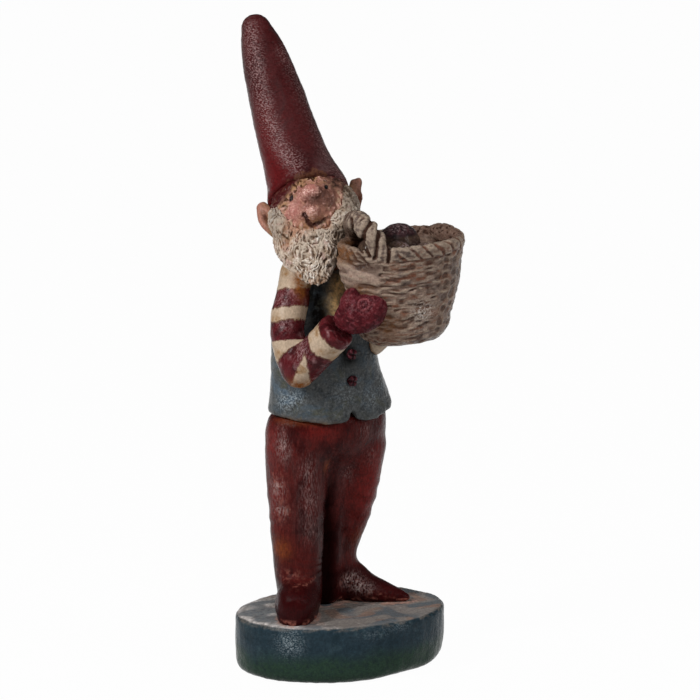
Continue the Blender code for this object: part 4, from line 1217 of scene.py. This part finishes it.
def basket_relief(points, normals):
    place = local(points, BASKET)
    x, y, z = place.T
    facing = turned(normals, BASKET)
    outward = x * facing[:, 0] + y * facing[:, 1]
    outside = ramp(0, 8, outward) * ramp(0.2, 0.6, np.hypot(facing[:, 0], facing[:, 1]))
    around = BASKET_GIRTH * np.arctan2(y / WALL_RADII[1], x / WALL_RADII[0])
    handle = ramp(RIM_FOOT + 6, RIM_FOOT + 9, z) * ramp(-4, -9, x)
    front = ramp(HANDLE_ENDS + 2, HANDLE_ENDS - 2, x)
    push = lumps(place, coarse=0.45, fine=0.1) + outside * 0.25 * noise(place, (5, 5, 1.6), 73)

    bent = warped(np.stack([around, np.zeros(len(x)), z], axis=1), (9, 9, 6), 1.4)
    rows = noise(bent, DASH_SIZES, 5)
    tone = noise(bent, DASH_SIZES, 8)
    smooth = ramp(SMOOTH_END + 1, SMOOTH_END - 1, x + 2.5 * noise(place, (4, 4, 3), 72)) * ramp(31, 36, z)
    end = ramp(PITTED_END - 6, PITTED_END + 6, x + 4 * noise(place, 9, 71))
    wall = outside * ramp(RIM_FOOT + 0.4, RIM_FOOT - 0.4, z)
    dashes = wall * (1 - end) * (1 - smooth)
    dents = wall * end * ramp(0.6, 0.32, pits(warped(place, 7, 1.5), PIT_SPACING, 4))
    swells = noise(warped(place, (10, 10, 8), 2), SWELL_SIZES, 74)
    push += wall * smooth * (SMOOTH_HEIGHT + SWELL_HEIGHT * swells)
    push += DASH_HEIGHT * dashes * rows - PIT_DEPTH * dents
    push += BULGE_HEIGHT * wall * spot(place, *BASKET_BULGE)
    push -= FOOT_TAPER * wall * ramp(5, 28, x) * ramp(40, 14, z)

    rim = ramp(RIM_FOOT, RIM_FOOT + 0.8, z) * (1 - handle)
    over_rim = np.where(x > LUG_START, outside, ramp(0, 0.5, outside + 0.6 * facing[:, 2]))
    twist = np.cos((around + RIM_SLANT * z + 2 * noise(place, 6, 75)) * 2 * math.pi / RIM_TWIST)
    furrow = rim * over_rim * (1 - front) * ramp(0.4, 0.92, twist) * ramp(-0.9, -0.3, noise(place, 6, 76))
    joint = cut(z - RIM_FOOT, JOINT_WIDTH) * outside * (1 - front)
    push += rim * outside * (RIM_HEIGHT + 0.3 * noise(place, (3.4, 3.4, 1.1), 82))
    push -= TWIST_DEPTH * furrow + JOINT_DEPTH * joint

    strands = handle_grooves(place, STRAND_GROOVES, STRAND_WIDTH)
    strands *= np.maximum(handle, front * outside * ramp(RIM_FOOT - 4, RIM_FOOT, z))
    loops = handle_grooves(place, LOOP_GROOVES, LOOP_WIDTH) * front * outside
    push += handle * (HANDLE_HEIGHT + 0.45 * noise(place, (1.4, 1.4, 5), 79))
    push -= STRAND_DEPTH * strands + LOOP_DEPTH * loops

    lug = ramp(LUG_START, LUG_START + 4, x) * ramp(RIM_FOOT + 2, RIM_FOOT + 4, z) * (1 - outside)
    inner = ramp(0.1, -0.3, outside) * ramp(0.55, 0.25, facing[:, 2]) * ramp(20, 30, z) * (1 - handle)
    inner = np.maximum(inner, lug)
    holes = inner * ramp(0.54, 0.3, pits(warped(place, 4, 1.5), HOLE_SPACING, 77))
    push += 0.5 * inner * fractal(place, 4, 2, 80) - HOLE_DEPTH * holes

    # Painted shade: darker in the dashes' grooves, dents, furrows, strand grooves, loops and holes, and on
    # the handle's far side
    sunk = 0.6 * dashes * ramp(-0.1, -0.5, rows) + 0.6 * dents + 0.15 * furrow
    sunk += 0.7 * wall * smooth * ramp(-0.1, -0.5, swells)
    sunk += ramp(0.3, 0.8, strands) + 0.8 * loops + 0.95 * holes + 0.6 * handle * ramp(2, 8, y)
    red = 0.8 * dashes * ramp(0.1, 0.55, tone) + 0.4 * joint + 0.9 * furrow
    pale = 0.8 * dashes * ramp(-0.1, -0.5, tone) + 0.75 * wall * smooth + 0.15 * handle
    return push, {
        "painted_highlight": spots(place, BASKET_HIGHLIGHT),
        "dim": 0.9 * ramp(RIM_FOOT - 1, RIM_FOOT + 4, z) * ramp(-4, -9, x),
        "red": np.clip(red, 0, 1),
        "pale": np.clip(pale, 0, 1),
        "sunk": np.clip(sunk, 0, 1),
        "inside": inner * (1 - holes),
        "grime": spots(place, BASKET_GRIME) * (1 - 0.8 * handle),
        "matt": np.clip(ramp(0.3, 0.8, strands) + holes, 0, 1),
    }


def bed_relief(points, normals):
    return 0.7 * fractal(local(points, BASKET), 6, 3, 81), {"inside": np.ones(len(points))}


# Below this height in the basket the fruit is olive
OLIVE_TOP = 65.5
# Specks of painted highlight on the fruit
FRUIT_HIGHLIGHT = [
    ((-3, -2, 70), (9, 8, 3), 0.45), ((-8, -17, 62), (5, 5, 4), 0.9), ((6, -12, 60), (6, 5, 3), 0.4),
]


def fruit_relief(points, normals):
    place = local(points, BASKET)
    push = lumps(place, coarse=0.5, fine=0.08) + 0.15 * noise(place, 3.2, 83)
    low = ramp(OLIVE_TOP + 1, OLIVE_TOP - 1, place[:, 2] + 1.2 * noise(place, 5, 84))
    return push, {"olive": 0.7 * low, "painted_highlight": spots(place, FRUIT_HIGHLIGHT)}


def button_relief(points, normals):
    """Four petals round a dimple."""
    place = local(points, FIGURE)
    x, _, z = (place - place.mean(axis=0)).T
    petals = np.abs(np.sin(2 * np.arctan2(z, x) + 0.5))
    reach = np.hypot(x, z)
    push = (petals - 0.55) * ramp(0.4, 2, reach) - 0.5 * ramp(1, 0.3, reach)
    return push * facing_front(normals, 0.2, 0.6) + 0.2 * noise(place, 1.6, 85), {}


PLINTH_TOP = 36.4
# How far the foot of the plinth draws in all round, and how much further at its left end
FOOT_DRAWS_IN = 0.8
LEFT_DRAWS_IN = 1.4
PLINTH_STROKES = ((1.6, 1.6, 3), 0.08)
# Specks of painted highlight on the plinth's side
PLINTH_HIGHLIGHT = [
    ((-49, -33.5, 27), (7, 7, 7), 1), ((18, -48, 33), (7, 7, 2.2), 0.45), ((0, -49.5, 31), (9, 9, 3), 0.25),
]


def plinth_relief(points, normals):
    place = points / MM
    x, y, z = place.T
    push = lumps(place, coarse=0.4, fine=0.06) + brushed(place, *PLINTH_STROKES)
    push -= ramp(20, 0, z) * (FOOT_DRAWS_IN + LEFT_DRAWS_IN * ramp(15, 60, x - 0.5 * y))
    flat = ramp(PLINTH_TOP - 0.9, PLINTH_TOP - 0.1, z + 0.2 * noise(place, 5, 94))
    dabs = warped(place, (20, 20, 20), 3)
    slanted = np.stack([x + y, x - y, z], axis=1)
    blue = ramp(0.05, 0.45, noise(dabs, (11, 9, 9), 89))
    peach = ramp(0.15, 0.55, noise(dabs, (9, 8, 9), 91)) * ramp(-55, -5, x)
    dark = ramp(0.15, 0.6, noise(slanted, (8, 3, 9), 93)) * ramp(10, -45, x)
    shoulder = ramp(PLINTH_TOP - 3, PLINTH_TOP - 1, z) * (1 - flat)
    touching = nearness(points, other_nodes(["plinth"]))
    return push, {
        "top": flat,
        # The left end of the top painted lighter as painted light
        "light": 0.9 * flat * ramp(-18, -46, x + 6 * noise(place, 9, 92)),
        "lap": 0.8 * ramp(0.1, 0.5, touching) * ramp(-0.3, 0.2, noise(place, 4, 96)),
        "blue_dab": 0.75 * blue * flat,
        "peach_dab": 0.75 * peach * flat,
        "painted_highlight": spots(place, PLINTH_HIGHLIGHT),
        "dark_dab": 0.4 * dark * flat,
        "edge": 0.4 * shoulder * ramp(-0.3, 0.2, noise(place, (4, 4, 2), 95)),
        "green": (1 - flat) * ramp(24, 8, z + 5 * noise(place, 14, 97)),
    }


# The pieces

LEGS = ["trouser_seat", "right_trouser_leg", "left_trouser_leg", "right_boot", "left_boot"]
BASKET_WALLS = ["basket_tub", "basket_rim", "basket_handle_right", "basket_handle_left"]
HAIR = ["hair", "beard"]
COAT = ["waistcoat"]

clay_piece("plinth_painted", ["plinth"], plinth_relief, plinth_paint, first=1.0, fine=0.8)
clay_piece("trousers", LEGS, trouser_relief, trouser_paint, first=1.8, melt=10, fine=0.72)
clay_piece("shirt", ["torso"], shirt_relief, shirt_paint, fine=0.9)
clay_piece("waistcoat_painted", COAT, waistcoat_relief, waistcoat_paint, fine=0.72)
for number in (1, 2, 3):
    node = f"button_{number}"
    clay_piece(f"{node}_painted", [node], button_relief, button_paint, first=0.6, fine=0.3)
for side, setting in (("right", RIGHT_STRIPES), ("left", LEFT_STRIPES)):
    node = f"{side}_sleeve"
    clay_piece(f"{node}_painted", [node], sleeve_relief(node, setting), sleeve_paint)
    node = f"{side}_mitten"
    clay_piece(f"{node}_painted", [node], mitten_relief, mitten_paint, first=1.2, fine=0.45)
clay_piece("basket", BASKET_WALLS, basket_relief, wicker_paint, first=1.2, fine=0.62)
clay_piece("bed", ["basket_bed"], bed_relief, wicker_paint, fine=0.8)
for number in (1, 2, 3, 4):
    node = f"fruit_{number}"
    clay_piece(f"{node}_painted", [node], fruit_relief, plum_paint, first=1.2, fine=0.5)
clay_piece("face", ["head", "nose"], face_relief, skin_paint, first=0.9, melt=3, fine=0.4)
for side in ("right", "left"):
    node = f"{side}_ear"
    clay_piece(f"{node}_painted", [node], ear_relief(side), ear_paint, first=0.6, fine=0.4)
clay_piece("hat_painted", ["hat"], hat_relief, hat_paint, first=1.8)
clay_piece("whiskers", HAIR, beard_relief, beard_paint, first=1.2, melt=8, fine=0.42)
for name in HIDDEN_NODES:
    node = frame["nodes"][name]
    node.data.materials.clear()
    node.data.materials.append(iron_paint)


# The stage: floor, lights and camera

FLOOR_REACH = 4.0
FLOOR_SHADE = 0.6
FLOOR_ROUGHNESS = 0.9
FLOOR_WHITE = 0.98
WORLD_STRENGTH = 0.12
WHITE = (1, 1, 1, 1)


def white_for_camera(tree, shade):
    """A surface that the camera and reflections see as nearly white, and that lights the rest as shaded."""
    path = add(tree, "LightPath")
    direct = math_node(tree, "MAXIMUM", path.outputs["Is Camera Ray"], path.outputs["Is Glossy Ray"])
    direct = math_node(tree, "MAXIMUM", direct, path.outputs["Is Transmission Ray"])
    both = add(tree, "MixShader", Fac=math_node(tree, "MULTIPLY", direct, FLOOR_WHITE))
    feed(tree, both.inputs[1], shade)
    feed(tree, both.inputs[2], add(tree, "Emission", Strength=1.0, Color=WHITE).outputs[0])
    return both.outputs[0]


def floor():
    mesh = bpy.data.meshes.new("floor")
    signs = ((-1, -1), (1, -1), (1, 1), (-1, 1))
    mesh.from_pydata([(FLOOR_REACH * x, FLOOR_REACH * y, 0) for x, y in signs], [], [(0, 1, 2, 3)])
    material = bpy.data.materials.new("floor")
    material.use_nodes = True
    tree = material.node_tree
    shader = tree.nodes["Principled BSDF"]
    shader.inputs["Base Color"].default_value = (FLOOR_SHADE, FLOOR_SHADE, FLOOR_SHADE, 1)
    shader.inputs["Roughness"].default_value = FLOOR_ROUGHNESS
    out = tree.nodes["Material Output"]
    tree.links.new(white_for_camera(tree, shader.outputs[0]), out.inputs["Surface"])
    mesh.materials.append(material)
    placed("floor", mesh)


def world():
    """Even light from all round."""
    made = bpy.data.worlds.new("studio")
    made.use_nodes = True
    shade = made.node_tree.nodes["Background"]
    shade.inputs["Color"].default_value = WHITE
    shade.inputs["Strength"].default_value = WORLD_STRENGTH
    bpy.context.scene.world = made


def aimed(name, data, azimuth, elevation, distance):
    """A new object this way round and up from the middle of the figure, that looks back at it."""
    level = math.cos(elevation)
    away = Vector((math.sin(azimuth) * level, -math.cos(azimuth) * level, math.sin(elevation)))
    obj = placed(name, data)
    obj.location = CAMERA_AIM + away * distance
    obj.rotation_euler = away.to_track_quat("Z", "Y").to_euler()
    return obj


def softbox(name, azimuth, elevation, distance, size, power):
    """A lamp this many degrees round from the camera's side and up."""
    data = bpy.data.lights.new(name, "AREA")
    data.shape = "RECTANGLE"
    data.size, data.size_y = size
    data.energy = power
    aimed(name, data, CAMERA_AZIMUTH + math.radians(azimuth), math.radians(elevation), distance)


def camera():
    data = bpy.data.cameras.new("camera")
    data.lens = CAMERA_LENS
    data.sensor_width = CAMERA_SENSOR
    data.clip_end = CAMERA_REACH
    bpy.context.scene.camera = aimed("camera", data, CAMERA_AZIMUTH, CAMERA_ELEVATION, CAMERA_DISTANCE)


floor()
world()
softbox("key", azimuth=-50, elevation=34, distance=1.3, size=(0.1, 0.3), power=11)
softbox("front", azimuth=10, elevation=50, distance=1.8, size=(0.9, 0.9), power=7)
softbox("side", azimuth=62, elevation=22, distance=1.4, size=(0.08, 0.4), power=4.5)
camera()
bpy.context.scene.view_settings.view_transform = "Standard"
